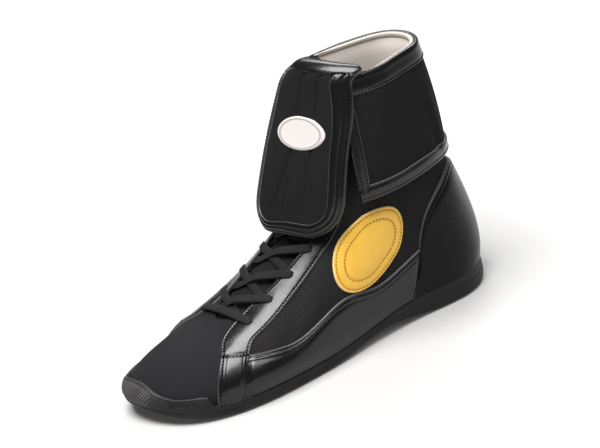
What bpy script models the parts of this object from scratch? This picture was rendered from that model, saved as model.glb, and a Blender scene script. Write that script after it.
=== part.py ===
"""Left boxing shoe with a hanging cuff and a tongue that folds forward over the laces.

Lengths here are millimetres. x runs forward from the back of the heel, y to the outer side of the foot
and z up from the floor. The finished shoe is moved so that its origin is the middle of the heel rest.
"""
import math

import bmesh
import bpy
import numpy as np

MM = 0.001

# Driving dimensions
SHOE_LENGTH = 281.0
BALL_HALF = 48.0
COLLAR_HEIGHT = 188.0
HEEL_EDGE = 15.2
FOREFOOT_EDGE = 7.6
TOE_SPRING = 12.0
ARCH_RISE = 5.5
UPPER_WALL = 2.0
PIECE_GAP = 0.3
HEEL_REST_X = 38.0

# Stretches of the sole along the length
HEEL_FLAT_FROM = 22.0
HEEL_FLAT_TO = 54.0
BALL_FLAT_FROM = 152.0
BALL_FLAT_TO = 214.0
HEEL_BEVEL = 6.0
SPRING_POWER = 1.8
SPRING_LIMIT = 1.2

# Line of the sole's edge: where it drops from the heel's height, and how it follows the toe spring
EDGE_DROP_FROM = 65.0
EDGE_DROP_LENGTH = 88.0
EDGE_SPRING = 0.6
EDGE_SPRING_LEAD = 10.0

# Sections of the upper from the heel (0) round either side to the toe (10).
# foot_x and rim_x are percent of the length, the sideways values percent of half the ball width, rim_z
# percent of the collar height. belly and shoulder are the two handles of the wall's curve in millimetres,
# out from the outline and up from the sole, out from the outline and down from the rim.
WALL_COLUMNS = ("foot_x", "foot_outer", "foot_inner", "rim_x", "rim_y", "rim_z",
                "belly_out", "belly_up", "shoulder_out", "shoulder_down")
WALL_ROWS = (
    (2.7, 0.0, 0.0, 8.8, 0.0, 96.8, 11.0, 45.0, -9.5, 73.0),
    (5.8, 42.0, 41.0, 11.2, 35.0, 96.8, 7.5, 42.0, -7.5, 72.0),
    (12.8, 65.0, 63.0, 17.8, 51.0, 96.8, 6.0, 40.0, 1.5, 72.0),
    (23.5, 68.0, 65.0, 26.3, 62.0, 96.3, 5.0, 38.0, 1.0, 72.0),
    (34.9, 75.0, 60.0, 31.0, 54.0, 92.5, 5.0, 40.0, 8.0, 75.0),
    (46.3, 86.0, 62.0, 36.5, 50.0, 68.0, 3.0, 34.0, 9.0, 42.0),
    (58.0, 96.0, 72.0, 43.1, 44.0, 49.5, 2.0, 27.0, 13.0, 24.0),
    (69.4, 101.0, 84.0, 52.7, 40.0, 38.3, 1.5, 22.0, 15.0, 15.0),
    (79.9, 94.0, 86.0, 62.6, 36.0, 29.8, 1.5, 18.0, 15.0, 10.0),
    (90.6, 62.0, 67.0, 69.8, 22.0, 25.0, 2.0, 14.0, 19.0, 7.0),
    (97.0, -12.0, 12.0, 72.2, 0.0, 23.8, 2.0, 11.0, 28.0, 7.0),
)
HALF_TURN = len(WALL_ROWS) - 1
FULL_TURN = 2 * HALF_TURN
UPPER_RISES = np.linspace(0.0, 1.0, 13)

# How finely the curved pieces are cut
HEEL_TURN = 1.0
TOE_TURN = 8.6
HEEL_CUTS = 6
SIDE_CUTS = 20
TOE_CUTS = 11
SOLE_SIDE_CUTS = 17
GUARD_CUTS = 5
EYESTAY_CUTS = (22, 3)
STRAP_CUTS = (7, 4)
FOXING_CUTS = (23, 4)
COUNTER_CUTS = (29, 7)
CUFF_CUTS = 27
CUFF_ROWS = 5
CUFF_EDGE_ROWS = 6
OVAL_SPOKES = 22
PATCH_RINGS = 3
BADGE_RINGS = 2
SHARP_EDGE = 40.0

# Sole: lip outside the upper, its guard round the toe as (turns from the crest, rise), slanting ribs on the guard
LIP_HEIGHT = 1.4
LIP_WALL = 2.2
GUARD_PLAY = 0.2
SOLE_EDGE = 2.5
HEEL_FLARE = 0.4
HEEL_FLARE_TO = 70.0
HEEL_FLARE_FADE = 50.0
SOLE_BEVEL_IN = 3.0
SOLE_BEVEL_UP = 1.8
GUARD_FROM = 8.28
GUARD_CREST = 9.85
GUARD_ROWS = ((0.0, 0.3), (0.25, 0.255), (0.42, 0.205), (0.6, 0.17), (0.82, 0.145), (1.05, 0.155), (1.24, 0.165),
              (1.39, 0.15), (GUARD_CREST - GUARD_FROM, 0.0))
RIBS_FROM = 9.0
RIBS_A_SIDE = 7
RIB_HEIGHT = 0.5
RIB_SLANT = 0.06
LIP_WAIST = 0.3
LIP_CREST = 0.85
LIP_BROW = 0.6
LIP_INSIDE = (0.75, 0.5, 0.25)
INSOLE_THICKNESS = 3.0
INSOLE_PLAY = 1.6

# Leather laid on the upper: rungs of (turn, rise) at one edge and (turn, rise) at the other
OVERLAY = 1.3
OVERLAY_LIFT = 0.5
EYESTAY_RUNGS = (
    (7.86, 0.46, 8.66, 0.57),
    (7.91, 0.555, 8.87, 0.695),
    (7.72, 0.6, 8.9, 0.8),
    (7.44, 0.64, 8.72, 0.91),
    (7.15, 0.69, 8.24, 0.985),
    (6.85, 0.735, 7.6, 0.99),
    (6.28, 0.8, 6.7, 0.99),
    (5.78, 0.815, 5.95, 0.99),
    (5.2, 0.83, 5.25, 0.99),
)
STRAP_RUNGS = (
    (7.58, 0.0, 8.23, 0.0),
    (7.64, 0.15, 8.3, 0.19),
    (7.73, 0.3, 8.45, 0.37),
    (7.86, 0.45, 8.65, 0.56),
)
FOXING_RUNGS = (
    (7.52, 0.0, 7.79, 0.43),
    (6.95, 0.0, 7.1, 0.35),
    (6.4, 0.0, 6.49, 0.305),
    (5.85, 0.0, 5.9, 0.33),
    (5.3, 0.0, 5.34, 0.335),
    (4.8, 0.0, 4.75, 0.28),
    (4.3, 0.0, 4.2, 0.225),
    (3.8, 0.0, 3.6, 0.23),
    (3.4, 0.0, 2.99, 0.265),
)
COUNTER_RUNGS = (
    (0.0, 0.0, 0.0, 0.5),
    (1.0, 0.0, 0.95, 0.53),
    (2.0, 0.0, 1.8, 0.505),
    (2.8, 0.0, 2.55, 0.41),
    (3.15, 0.0, 2.93, 0.27),
    (3.36, 0.0, 3.07, 0.15),
)

# Tongue: from under the vamp up the throat, over the fold above the collar and down as the flap.
# x, y, z of the middle, half the width, turn to the outer side in degrees, how far the edges lie back and down
TONGUE_THICKNESS = 4.0
TONGUE_ROWS = (
    (214.0, 0.0, 35.5, 15.0, 0.0, 0.0, 3.0),
    (196.0, 0.0, 43.3, 22.0, 0.0, 1.0, 7.5),
    (176.0, 0.0, 54.2, 24.5, 0.0, 3.0, 8.5),
    (150.0, 0.0, 69.5, 24.0, 0.0, 5.5, 9.5),
    (123.0, 0.0, 92.0, 23.5, 0.0, 8.5, 8.0),
    (105.0, 0.0, 122.0, 24.0, 0.0, 13.0, 4.0),
    (96.0, 0.0, 153.0, 22.5, 0.0, 14.5, 1.0),
    (91.5, 0.0, 173.0, 22.0, 2.0, 12.5, 0.0),
    (91.5, 0.5, 182.8, 24.0, 7.0, 9.0, 0.5),
    (97.5, 2.0, 187.5, 29.5, 16.0, 7.5, 4.0),
    (104.5, 2.5, 182.5, 30.5, 17.0, 7.0, 2.5),
    (107.5, 3.5, 173.0, 31.0, 18.0, 7.0, 1.0),
    (115.0, 5.0, 152.0, 32.0, 20.0, 7.5, 0.0),
    (124.5, 6.0, 131.0, 33.0, 21.0, 8.0, 0.0),
    (132.5, 7.0, 112.0, 33.5, 22.0, 8.0, 0.0),
    (138.0, 7.5, 99.0, 32.5, 23.0, 8.0, 0.0),
    (142.0, 8.0, 91.0, 27.5, 23.0, 7.0, 0.0),
    (144.5, 8.0, 85.5, 18.0, 23.0, 4.0, 0.0),
)
TONGUE_STEPS = 36
TONGUE_ACROSS = (-1.0, -0.75, -0.4, 0.0, 0.4, 0.75, 1.0)
FLAP_FIRST_STEP = 19
BINDING_STEPS = 2
BINDING_THICKNESS = 1.0
BADGE_PLACE = 0.71
BADGE_ACROSS = 0.02
BADGE_TALL = 0.029
BADGE_WIDE = 0.6
BADGE_THICKNESS = 0.9

# Cuff: its hem as x, y, z from the back to the front edge; the top follows the collar
CUFF_TURN = 3.45
CUFF_TOP_RISE = 0.985
CUFF_STAND = 0.5
CUFF_WALL = 2.0
CUFF_BULGE = 2.0
CUFF_HEM = 0.125
CUFF_BAND = 0.885
CUFF_FRONT_STRIP = 0.065
CUFF_JOIN = 0.005
BRIDGE_CROWN = 0.6
COLLAR_TURN_IN = 0.965
CUFF_BOTTOM_ROWS = (
    (18.5, 0.0, 102.5),
    (25.0, 19.5, 103.0),
    (44.0, 33.0, 103.5),
    (76.0, 41.5, 102.5),
    (103.0, 41.0, 103.0),
)

# Patch on each ankle, an oval in the side view along the eyestay, and where its search starts
PATCH_TURN = 4.5
PATCH_RISE = 0.45
PATCH_X = 102.0
PATCH_Z = 66.5
PATCH_LONG = 32.0
PATCH_SHORT = 20.5
PATCH_LEAN = -33.0
PATCH_LIFT = 0.65
PATCH_SEARCH_STEPS = 12

# Laces: outer holes as (turn, rise) from the vamp up; the inner ones lie further to the toe by the skew
LACE_HOLES = ((8.17, 0.745), (7.65, 0.825), (7.1, 0.875), (6.55, 0.92), (6.0, 0.93))
LACE_SKEW = 0.45
LACE_LIFT = 3.1
LACE_OUT_TURN = -0.1
LACE_OUT_IN = 4.5
LACE_WIDTH = 6.5
LACE_THICKNESS = 1.2
LACE_STEPS = 9
LACE_EDGE_RISE = 0.975
BAR_ARCH = 2.0
CROSS_ARCH = 3.2


def smooth_step(value):
    """Rise from 0 to 1 with level ends."""
    share = np.clip(value, 0.0, 1.0)
    return share * share * (3.0 - 2.0 * share)


def bottom_height(x):
    """Underside of the sole: level at heel and ball, raised at the arch, the toe and the heel's back edge."""
    arch = np.clip((x - HEEL_FLAT_TO) / (BALL_FLAT_FROM - HEEL_FLAT_TO), 0.0, 1.0)
    toe = np.clip((x - BALL_FLAT_TO) / (SHOE_LENGTH - BALL_FLAT_TO), 0.0, SPRING_LIMIT)
    heel = np.clip((HEEL_FLAT_FROM - x) / HEEL_FLAT_FROM, 0.0, SPRING_LIMIT)
    return ARCH_RISE * np.sin(math.pi * arch) ** 2 + TOE_SPRING * toe ** SPRING_POWER + HEEL_BEVEL * heel ** 2


def feather_height(x):
    """Line where the upper meets the sole."""
    drop = smooth_step((x - EDGE_DROP_FROM) / EDGE_DROP_LENGTH)
    toe = np.clip((x - BALL_FLAT_TO + EDGE_SPRING_LEAD) / (SHOE_LENGTH - BALL_FLAT_TO), 0.0, SPRING_LIMIT)
    return HEEL_EDGE + (FOREFOOT_EDGE - HEEL_EDGE) * drop + EDGE_SPRING * TOE_SPRING * toe ** SPRING_POWER


def loop_weights(rows):
    """Control points of a closed cubic spline that passes through every row."""
    count = len(rows)
    matrix = np.zeros((count, count))
    for i in range(count):
        matrix[i, i] = 4.0 / 6.0
        matrix[i, (i + 1) % count] = 1.0 / 6.0
        matrix[i, i - 1] = 1.0 / 6.0
    return np.linalg.solve(matrix, rows)


def spline_at(weights, turn):
    """Value of the closed spline at a turn, where each whole number is a row."""
    turn = np.asarray(turn, float)
    base = np.floor(turn).astype(int)
    part = (turn - base)[..., None]
    count = len(weights)
    pieces = [weights[(base + k) % count] for k in (-1, 0, 1, 2)]
    blend = ((1 - part) ** 3, 3 * part ** 3 - 6 * part ** 2 + 4,
             -3 * part ** 3 + 3 * part ** 2 + 3 * part + 1, part ** 3)
    return sum(b * p for b, p in zip(blend, pieces)) / 6.0


def wall_controls():
    """Four handles of the wall's curve for each section, once round the shoe: outer side, toe, inner side."""
    table = [dict(zip(WALL_COLUMNS, row)) for row in WALL_ROWS]
    order = list(range(HALF_TURN + 1)) + list(range(HALF_TURN - 1, 0, -1))
    rows = []
    for place, index in enumerate(order):
        row = table[index]
        outer = place <= HALF_TURN
        foot_y = row["foot_outer"] if outer else -row["foot_inner"]
        side = 1.0 if outer else -1.0
        rows.append((row["foot_x"] * SHOE_LENGTH / 100, foot_y * BALL_HALF / 100,
                     row["rim_x"] * SHOE_LENGTH / 100, side * row["rim_y"] * BALL_HALF / 100,
                     row["rim_z"] * COLLAR_HEIGHT / 100, row["belly_out"], row["belly_up"],
                     row["shoulder_out"], row["shoulder_down"]))
    return loop_weights(np.array(rows))


WALL_WEIGHTS = wall_controls()


def wall_point(turn, rise):
    """Outer face of the upper: turn goes round from the heel, rise goes from the sole (0) to the rim (1)."""
    turn, rise = np.broadcast_arrays(np.asarray(turn, float), np.asarray(rise, float))
    value = spline_at(WALL_WEIGHTS, turn)
    ahead = spline_at(WALL_WEIGHTS, turn + 0.01)
    behind = spline_at(WALL_WEIGHTS, turn - 0.01)
    along = ahead[..., :2] - behind[..., :2]
    along /= np.linalg.norm(along, axis=-1, keepdims=True)
    out = np.stack([-along[..., 1], along[..., 0], 0 * turn], -1)
    up = np.array([0.0, 0.0, 1.0])
    foot = np.stack([value[..., 0], value[..., 1], feather_height(value[..., 0])], -1)
    rim = value[..., 2:5]
    belly = foot + out * value[..., 5:6] + up * value[..., 6:7]
    shoulder = rim + out * value[..., 7:8] - up * value[..., 8:9]
    h = rise[..., None]
    return (foot * (1 - h) ** 3 + 3 * belly * h * (1 - h) ** 2
            + 3 * shoulder * h ** 2 * (1 - h) + rim * h ** 3)


def wall_normal(turn, rise):
    """Outward direction of the upper's face."""
    step = 0.004
    around = wall_point(turn + step, rise) - wall_point(turn - step, rise)
    upward = wall_point(turn, rise + step) - wall_point(turn, rise - step)
    normal = np.cross(upward, around)
    return normal / np.linalg.norm(normal, axis=-1, keepdims=True)


def wall_offset(turn, rise, distance):
    """Point at a distance outside the upper's face."""
    distance = np.broadcast_to(np.asarray(distance, float), np.broadcast(turn, rise).shape)
    return wall_point(turn, rise) + wall_normal(turn, rise) * distance[..., None]


def lip_rise(turn, height):
    """Rise of the wall at a small height above the sole line."""
    belly_up = spline_at(WALL_WEIGHTS, turn)[..., 6]
    return height / (3.0 * belly_up)


def open_weights(rows):
    """Control points of an open cubic spline that passes through every row."""
    rows = np.asarray(rows, float)
    count = len(rows)
    matrix = np.eye(count)
    for i in range(1, count - 1):
        matrix[i, i - 1:i + 2] = (1.0 / 6.0, 4.0 / 6.0, 1.0 / 6.0)
    inner = np.linalg.solve(matrix, rows)
    first = 2.0 * inner[0] - inner[1]
    last = 2.0 * inner[-1] - inner[-2]
    return np.vstack([first, inner, last, last])


def open_spline(rows, place):
    """Value of the open spline, where place 0 is the first row and 1 the last."""
    weights = open_weights(rows)
    step = np.clip(np.asarray(place, float), 0.0, 1.0) * (len(rows) - 1)
    return spline_at(weights, np.minimum(step + 1.0, len(rows) - 1e-9))


def add_material(name, colour, roughness):
    material = bpy.data.materials.new(name)
    material.use_nodes = True
    shader = material.node_tree.nodes["Principled BSDF"]
    shader.inputs["Base Color"].default_value = (*colour, 1.0)
    shader.inputs["Roughness"].default_value = roughness
    shader.inputs["Metallic"].default_value = 0.0
    return material


def add_solid(name, points, faces, material):
    """Object from points in millimetres, with its faces turned outward."""
    points = (np.asarray(points) - np.array([HEEL_REST_X, 0.0, 0.0])) * MM
    mesh = bpy.data.meshes.new(name)
    mesh.from_pydata(points.tolist(), [], [tuple(int(i) for i in face) for face in faces])
    form = bmesh.new()
    form.from_mesh(mesh)
    bmesh.ops.recalc_face_normals(form, faces=form.faces)
    bmesh.ops.triangulate(form, faces=form.faces)
    form.to_mesh(mesh)
    form.free()
    mesh.shade_smooth()
    mesh.set_sharp_from_angle(angle=math.radians(SHARP_EDGE))
    mesh.materials.append(material)
    thing = bpy.data.objects.new(name, mesh)
    bpy.context.collection.objects.link(thing)
    return thing


def grid_faces(rows, columns, start=0, wrap=False):
    """Quads of a grid of points stored row by row."""
    faces = []
    for i in range(rows - 1):
        for j in range(columns if wrap else columns - 1):
            k = (j + 1) % columns
            faces.append((start + i * columns + j, start + i * columns + k,
                          start + (i + 1) * columns + k, start + (i + 1) * columns + j))
    return faces


def sheet_solid(name, outer, inner, material, wrap=False, cells=None):
    """Closed wall between two grids of the same size. With wrap its columns run in a ring.

    cells picks the squares of the grid that are kept, all of them if it isn't given.
    """
    rows, columns = outer.shape[:2]
    size = rows * columns
    squares = grid_faces(rows, columns, 0, wrap)
    if cells is not None:
        squares = [square for square, kept in zip(squares, np.ravel(cells)) if kept]
    sides = [(a, b) for square in squares for a, b in zip(square, square[1:] + square[:1])]
    shared = set(sides)
    faces = squares + [tuple(i + size for i in square) for square in squares]
    faces += [(a, b, b + size, a + size) for a, b in sides if (b, a) not in shared]
    points = np.vstack([outer.reshape(-1, 3), inner.reshape(-1, 3)])
    used = sorted({i for face in faces for i in face})
    number = {old: new for new, old in enumerate(used)}
    faces = [tuple(number[i] for i in face) for face in faces]
    return add_solid(name, points[used], faces, material)


def ring_solid(name, rings, material):
    """Closed body from rings that run over its outside, with its first and last ring filled side to side.

    Each ring starts at the heel and is symmetric in its order, so that point i faces point -i.
    """
    rings = np.asarray(rings)
    count, columns = rings.shape[:2]
    faces = grid_faces(count, columns, 0, True)
    half = columns // 2
    for start in (0, (count - 1) * columns):
        for i in range(half):
            near, far = start + i, start + i + 1
            near_twin = start + (columns - i) % columns
            far_twin = start + (columns - i - 1) % columns
            corners = [near, far, far_twin, near_twin]
            faces.append(tuple(dict.fromkeys(corners)))
    return add_solid(name, rings.reshape(-1, 3), faces, material)


def mirror_turns(turns):
    """Full ring of turns from those of the outer side, 0 to HALF_TURN."""
    return np.concatenate([turns, FULL_TURN - turns[-2:0:-1]])


def side_turn(turn, side):
    """The same place on the outer (1) or inner (-1) side."""
    return turn if side > 0 else FULL_TURN - turn


def wall_sheet(name, turn, rise, material):
    """Overlay that follows the upper at a small lift."""
    outer = wall_offset(turn, rise, OVERLAY_LIFT + OVERLAY)
    inner = wall_offset(turn, rise, OVERLAY_LIFT)
    return sheet_solid(name, outer, inner, material)


def ladder(rungs, along, across):
    """Grid of turns and rises through rungs of (turn, rise, turn, rise)."""
    lines = open_spline(rungs, np.linspace(0.0, 1.0, along))
    share = np.linspace(0.0, 1.0, across)[:, None]
    turn = lines[:, 0] * (1 - share) + lines[:, 2] * share
    rise = lines[:, 1] * (1 - share) + lines[:, 3] * share
    return turn, rise


def upper_columns():
    """Turns at which the upper's wall is cut, closer together round the heel and the toe."""
    heel = np.linspace(0.0, HEEL_TURN, HEEL_CUTS)
    side = np.linspace(HEEL_TURN, TOE_TURN, SIDE_CUTS)
    toe = np.linspace(TOE_TURN, HALF_TURN, TOE_CUTS)
    return mirror_turns(np.concatenate([heel, side[1:], toe[1:]]))


def build_upper(material):
    turn, rise = np.meshgrid(upper_columns(), UPPER_RISES)
    outer = wall_offset(turn, rise, 0.0)
    inner = wall_offset(turn, rise, -UPPER_WALL)
    sheet_solid("upper", outer, inner, material, wrap=True)


def outsole_columns():
    """Turns round the sole and which of them carry a rib of the toe guard."""
    heel = np.linspace(0.0, HEEL_TURN, HEEL_CUTS)
    side = np.linspace(HEEL_TURN, GUARD_FROM, SOLE_SIDE_CUTS)
    front = np.linspace(GUARD_FROM, RIBS_FROM, GUARD_CUTS)
    ribs = np.linspace(RIBS_FROM, HALF_TURN, 2 * RIBS_A_SIDE + 1)
    turns = np.concatenate([heel, side[1:], front[1:], ribs[1:]])
    ribbed = np.zeros(len(turns))
    ribbed[-2 * RIBS_A_SIDE + 1::2] = 1.0
    return mirror_turns(turns), np.concatenate([ribbed, ribbed[-2:0:-1]])


def guard_rise(turn):
    """Top of the sole's lip, which rises round the toe as a guard."""
    away = np.abs(np.asarray(turn, float) - GUARD_CREST)
    table = np.array(GUARD_ROWS)
    guard = np.interp(away, table[:, 0], table[:, 1])
    return np.maximum(guard, lip_rise(turn, LIP_HEIGHT))


def build_outsole(material):
    turn, ribbed = outsole_columns()
    top = guard_rise(turn)
    foot = wall_point(turn, 0.0 * turn)
    out = wall_normal(turn, 0.0 * turn)
    out[:, 2] = 0.0
    out /= np.linalg.norm(out, axis=-1, keepdims=True)
    flare = HEEL_FLARE * smooth_step((HEEL_FLARE_TO - foot[:, 0]) / HEEL_FLARE_FADE)
    rim = foot + out * (SOLE_EDGE + flare)[:, None]
    low = rim - out * SOLE_BEVEL_IN
    low[:, 2] = bottom_height(low[:, 0])
    rim[:, 2] = bottom_height(rim[:, 0]) + SOLE_BEVEL_UP
    rib = RIB_HEIGHT * ribbed
    slant = RIB_SLANT * ribbed * np.sign(HALF_TURN - turn)
    side = wall_offset(turn, 0.0 * turn, SOLE_EDGE)
    waist = wall_offset(turn, LIP_WAIST * top, LIP_WALL + PIECE_GAP + rib)
    crest = wall_offset(turn + slant, LIP_CREST * top, LIP_WALL + rib)
    brow = wall_offset(turn, top, LIP_BROW * LIP_WALL)
    edge = wall_offset(turn, top, PIECE_GAP + GUARD_PLAY)
    inside = [wall_offset(turn, share * top, PIECE_GAP + GUARD_PLAY) for share in LIP_INSIDE]
    plate = wall_offset(turn, 0.0 * turn, PIECE_GAP + GUARD_PLAY)
    plate[:, 2] = feather_height(plate[:, 0]) - PIECE_GAP
    ring_solid("outsole", [low, rim, side, waist, crest, brow, edge, *inside, plate], material)


def build_insole(material):
    turn = upper_columns()
    low = wall_offset(turn, 0.0 * turn, -UPPER_WALL - INSOLE_PLAY)
    low[:, 2] = feather_height(low[:, 0])
    high = low.copy()
    high[:, 2] += INSOLE_THICKNESS
    ring_solid("insole", [low, high], material)


def tongue_point(place, across):
    """Middle layer of the tongue: place runs from the vamp (0) to the free end (1), across from -1 to 1."""
    place, across = np.broadcast_arrays(np.asarray(place, float), np.asarray(across, float))
    row = open_spline(TONGUE_ROWS, place)
    x, y, z, half, yaw, back, down = (row[..., k] for k in range(7))
    yaw = np.radians(yaw)
    bow = across ** 2
    return np.stack([x - across * half * np.sin(yaw) - bow * back * np.cos(yaw),
                     y + across * half * np.cos(yaw) - bow * back * np.sin(yaw),
                     z - bow * down], -1)


def tongue_offset(place, across, distance):
    """Point at a distance from the middle layer, positive on the face that shows on the hanging flap."""
    step = 0.002
    ahead = np.minimum(place + step, 1.0)
    behind = np.maximum(place - step, 0.0)
    along = tongue_point(ahead, across) - tongue_point(behind, across)
    over = tongue_point(place, across + 0.02) - tongue_point(place, across - 0.02)
    normal = np.cross(along, over)
    normal /= np.linalg.norm(normal, axis=-1, keepdims=True)
    distance = np.broadcast_to(np.asarray(distance, float), np.broadcast(place, across).shape)
    return tongue_point(place, across) + normal * distance[..., None]


def tongue_grid():
    return np.meshgrid(np.linspace(0.0, 1.0, TONGUE_STEPS + 1), TONGUE_ACROSS)


def build_tongue(material):
    place, across = tongue_grid()
    half = TONGUE_THICKNESS / 2
    sheet_solid("tongue", tongue_offset(place, across, half), tongue_offset(place, across, -half), material)


def build_flap_binding(material):
    """Frame of leather round the flap: down both sides, round the free end and over the fold."""
    place, across = tongue_grid()
    row, step = np.indices((len(TONGUE_ACROSS) - 1, TONGUE_STEPS))
    side = (row == 0) | (row == len(TONGUE_ACROSS) - 2)
    end = (step < FLAP_FIRST_STEP + BINDING_STEPS) | (step >= TONGUE_STEPS - BINDING_STEPS)
    cells = (step >= FLAP_FIRST_STEP) & (side | end)
    low = TONGUE_THICKNESS / 2 + PIECE_GAP
    outer = tongue_offset(place, across, low + BINDING_THICKNESS)
    inner = tongue_offset(place, across, low)
    sheet_solid("flap_binding", outer, inner, material, cells=cells)


def disc_solid(name, surface, rings, material, low, thickness):
    """Oval patch: surface takes two shares of its half lengths, and the height above what it lies on."""
    spokes = OVAL_SPOKES
    angle = np.linspace(0.0, 2.0 * math.pi, spokes, endpoint=False)
    share = np.linspace(0.0, 1.0, rings + 1)[1:]
    points = []
    faces = []
    for height in (low + thickness, low):
        start = len(points)
        points.append(surface(np.zeros(1), np.zeros(1), height)[0])
        for step in share:
            points.extend(surface(np.cos(angle) * step, np.sin(angle) * step, height))
        faces += [(start, start + 1 + j, start + 1 + (j + 1) % spokes) for j in range(spokes)]
        faces += grid_faces(rings, spokes, start + 1, True)
    size = len(points) // 2
    edge = 1 + (rings - 1) * spokes
    for j in range(spokes):
        a, b = edge + j, edge + (j + 1) % spokes
        faces.append((a, b, b + size, a + size))
    add_solid(name, points, faces, material)


def wall_place(x, z, side):
    """Turn and rise of the upper's face at a length and a height, found by Newton steps."""
    turn = np.full(np.shape(x), PATCH_TURN)
    rise = np.full(np.shape(x), PATCH_RISE)
    if side < 0:
        turn = FULL_TURN - turn
    step = 0.002
    for _ in range(PATCH_SEARCH_STEPS):
        point = wall_point(turn, rise)
        by_turn = (wall_point(turn + step, rise) - point) / step
        by_rise = (wall_point(turn, rise + step) - point) / step
        miss_x = x - point[..., 0]
        miss_z = z - point[..., 2]
        scale = by_turn[..., 0] * by_rise[..., 2] - by_rise[..., 0] * by_turn[..., 2]
        turn = turn + (miss_x * by_rise[..., 2] - miss_z * by_rise[..., 0]) / scale
        rise = rise + (miss_z * by_turn[..., 0] - miss_x * by_turn[..., 2]) / scale
    return turn, rise


def build_ankle_patch(side, name, material):
    lean = math.radians(PATCH_LEAN)

    def surface(along, over, height):
        x = PATCH_X + along * PATCH_LONG * math.cos(lean) - over * PATCH_SHORT * math.sin(lean)
        z = PATCH_Z + along * PATCH_LONG * math.sin(lean) + over * PATCH_SHORT * math.cos(lean)
        return wall_offset(*wall_place(x, z, side), height)

    disc_solid(name, surface, PATCH_RINGS, material, PATCH_LIFT, OVERLAY)


def build_badge(material):
    def surface(over, up, height):
        return tongue_offset(BADGE_PLACE - up * BADGE_TALL, BADGE_ACROSS + over * BADGE_WIDE, height)

    disc_solid("badge", surface, BADGE_RINGS, material, TONGUE_THICKNESS / 2 + PIECE_GAP, BADGE_THICKNESS)


def cuff_point(around, up):
    """Inner face of the cuff: around from -1 (inner front edge) by the back to 1, up from 0 to 1."""
    around, up = np.broadcast_arrays(np.asarray(around, float), np.asarray(up, float))
    top = wall_offset(around * CUFF_TURN, np.full(around.shape, CUFF_TOP_RISE), CUFF_STAND)
    half = np.array(CUFF_BOTTOM_ROWS)
    twin = half[:0:-1] * np.array([1.0, -1.0, 1.0])
    bottom = open_spline(np.vstack([twin, half]), 0.5 * (around + 1.0))
    share = up[..., None]
    out = wall_normal(around * CUFF_TURN, np.full(around.shape, CUFF_TOP_RISE))
    return bottom * (1 - share) + top * share + out * (4.0 * CUFF_BULGE * share * (1 - share))


def cuff_offset(around, up, distance):
    """Point at a distance outside the cuff's inner face."""
    step = 0.01
    sideways = cuff_point(around + step, up) - cuff_point(around - step, up)
    upward = cuff_point(around, up + step) - cuff_point(around, up - step)
    normal = np.cross(upward, sideways)
    normal /= np.linalg.norm(normal, axis=-1, keepdims=True)
    distance = np.broadcast_to(np.asarray(distance, float), np.broadcast(around, up).shape)
    return cuff_point(around, up) + normal * distance[..., None]


def cuff_strip(name, around, up, material):
    """Binding sewn on the cuff's outer face."""
    low = CUFF_WALL + PIECE_GAP
    outer = cuff_offset(around, up, low + BINDING_THICKNESS)
    inner = cuff_offset(around, up, low)
    sheet_solid(name, outer, inner, material)


def build_cuff(fabric, leather):
    around, up = np.meshgrid(np.linspace(-1.0, 1.0, CUFF_CUTS), np.linspace(0.0, 1.0, CUFF_ROWS))
    sheet_solid("cuff", cuff_offset(around, up, CUFF_WALL), cuff_offset(around, up, 0.0), fabric)
    around, up = np.meshgrid(np.linspace(-1.0, 1.0, CUFF_CUTS), np.linspace(0.0, CUFF_HEM, 2))
    cuff_strip("cuff_bottom_binding", around, up, leather)
    for side, name in ((1, "lateral"), (-1, "medial")):
        edge = np.linspace(1.0 - CUFF_FRONT_STRIP, 1.0, 2) * side
        up, around = np.meshgrid(np.linspace(CUFF_HEM + CUFF_JOIN, CUFF_BAND - CUFF_JOIN, CUFF_EDGE_ROWS), edge)
        cuff_strip(f"cuff_front_binding_{name}", around, up, leather)
    build_collar_binding(leather)


def build_collar_binding(material):
    """Leather folded over the collar: a leg outside the cuff, a bridge and a short leg inside the upper."""
    around = np.linspace(-1.0, 1.0, CUFF_CUTS)
    turn = around * CUFF_TURN
    full = np.full(around.shape, 1.0)
    outside = CUFF_WALL + PIECE_GAP
    band = np.full(around.shape, CUFF_BAND)
    inside = -UPPER_WALL - PIECE_GAP
    crown = BINDING_THICKNESS * BRIDGE_CROWN
    rise = np.array([0.0, 0.0, 1.0])
    outer_top = cuff_offset(around, full, outside + BINDING_THICKNESS)
    inner_top = cuff_offset(around, full, outside)
    inside_top = wall_offset(turn, full, inside)
    lining_top = wall_offset(turn, full, inside - BINDING_THICKNESS)
    level = np.maximum(outer_top[:, 2], inside_top[:, 2]) + PIECE_GAP
    for line, extra in ((outer_top, crown), (inner_top, 0.0),
                        (inside_top, 0.0), (lining_top, crown)):
        line[:, 2] = level + extra
    bridge = 0.5 * (outer_top + lining_top) + rise * crown
    section = [cuff_offset(around, band, outside), cuff_offset(around, band, outside + BINDING_THICKNESS),
               outer_top, bridge, lining_top,
               wall_offset(turn, full * COLLAR_TURN_IN, inside - BINDING_THICKNESS),
               wall_offset(turn, full * COLLAR_TURN_IN, inside), inside_top, inner_top]
    rings = np.stack(section)
    count, columns = rings.shape[:2]
    faces = grid_faces(count, columns)
    last = (count - 1) * columns
    faces += [(last + j, last + j + 1, j + 1, j) for j in range(columns - 1)]
    faces += [tuple(i * columns for i in range(count)), tuple(i * columns + columns - 1 for i in range(count))]
    add_solid("cuff_top_binding", rings.reshape(-1, 3), faces, material)


def instep_up(number):
    """Direction away from the instep at a row of lace holes."""
    turn = LACE_HOLES[number][0]
    edge = np.array(LACE_EDGE_RISE)
    both = wall_normal(np.array(turn), edge) + wall_normal(np.array(FULL_TURN - turn), edge)
    return both / np.linalg.norm(both)


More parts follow.
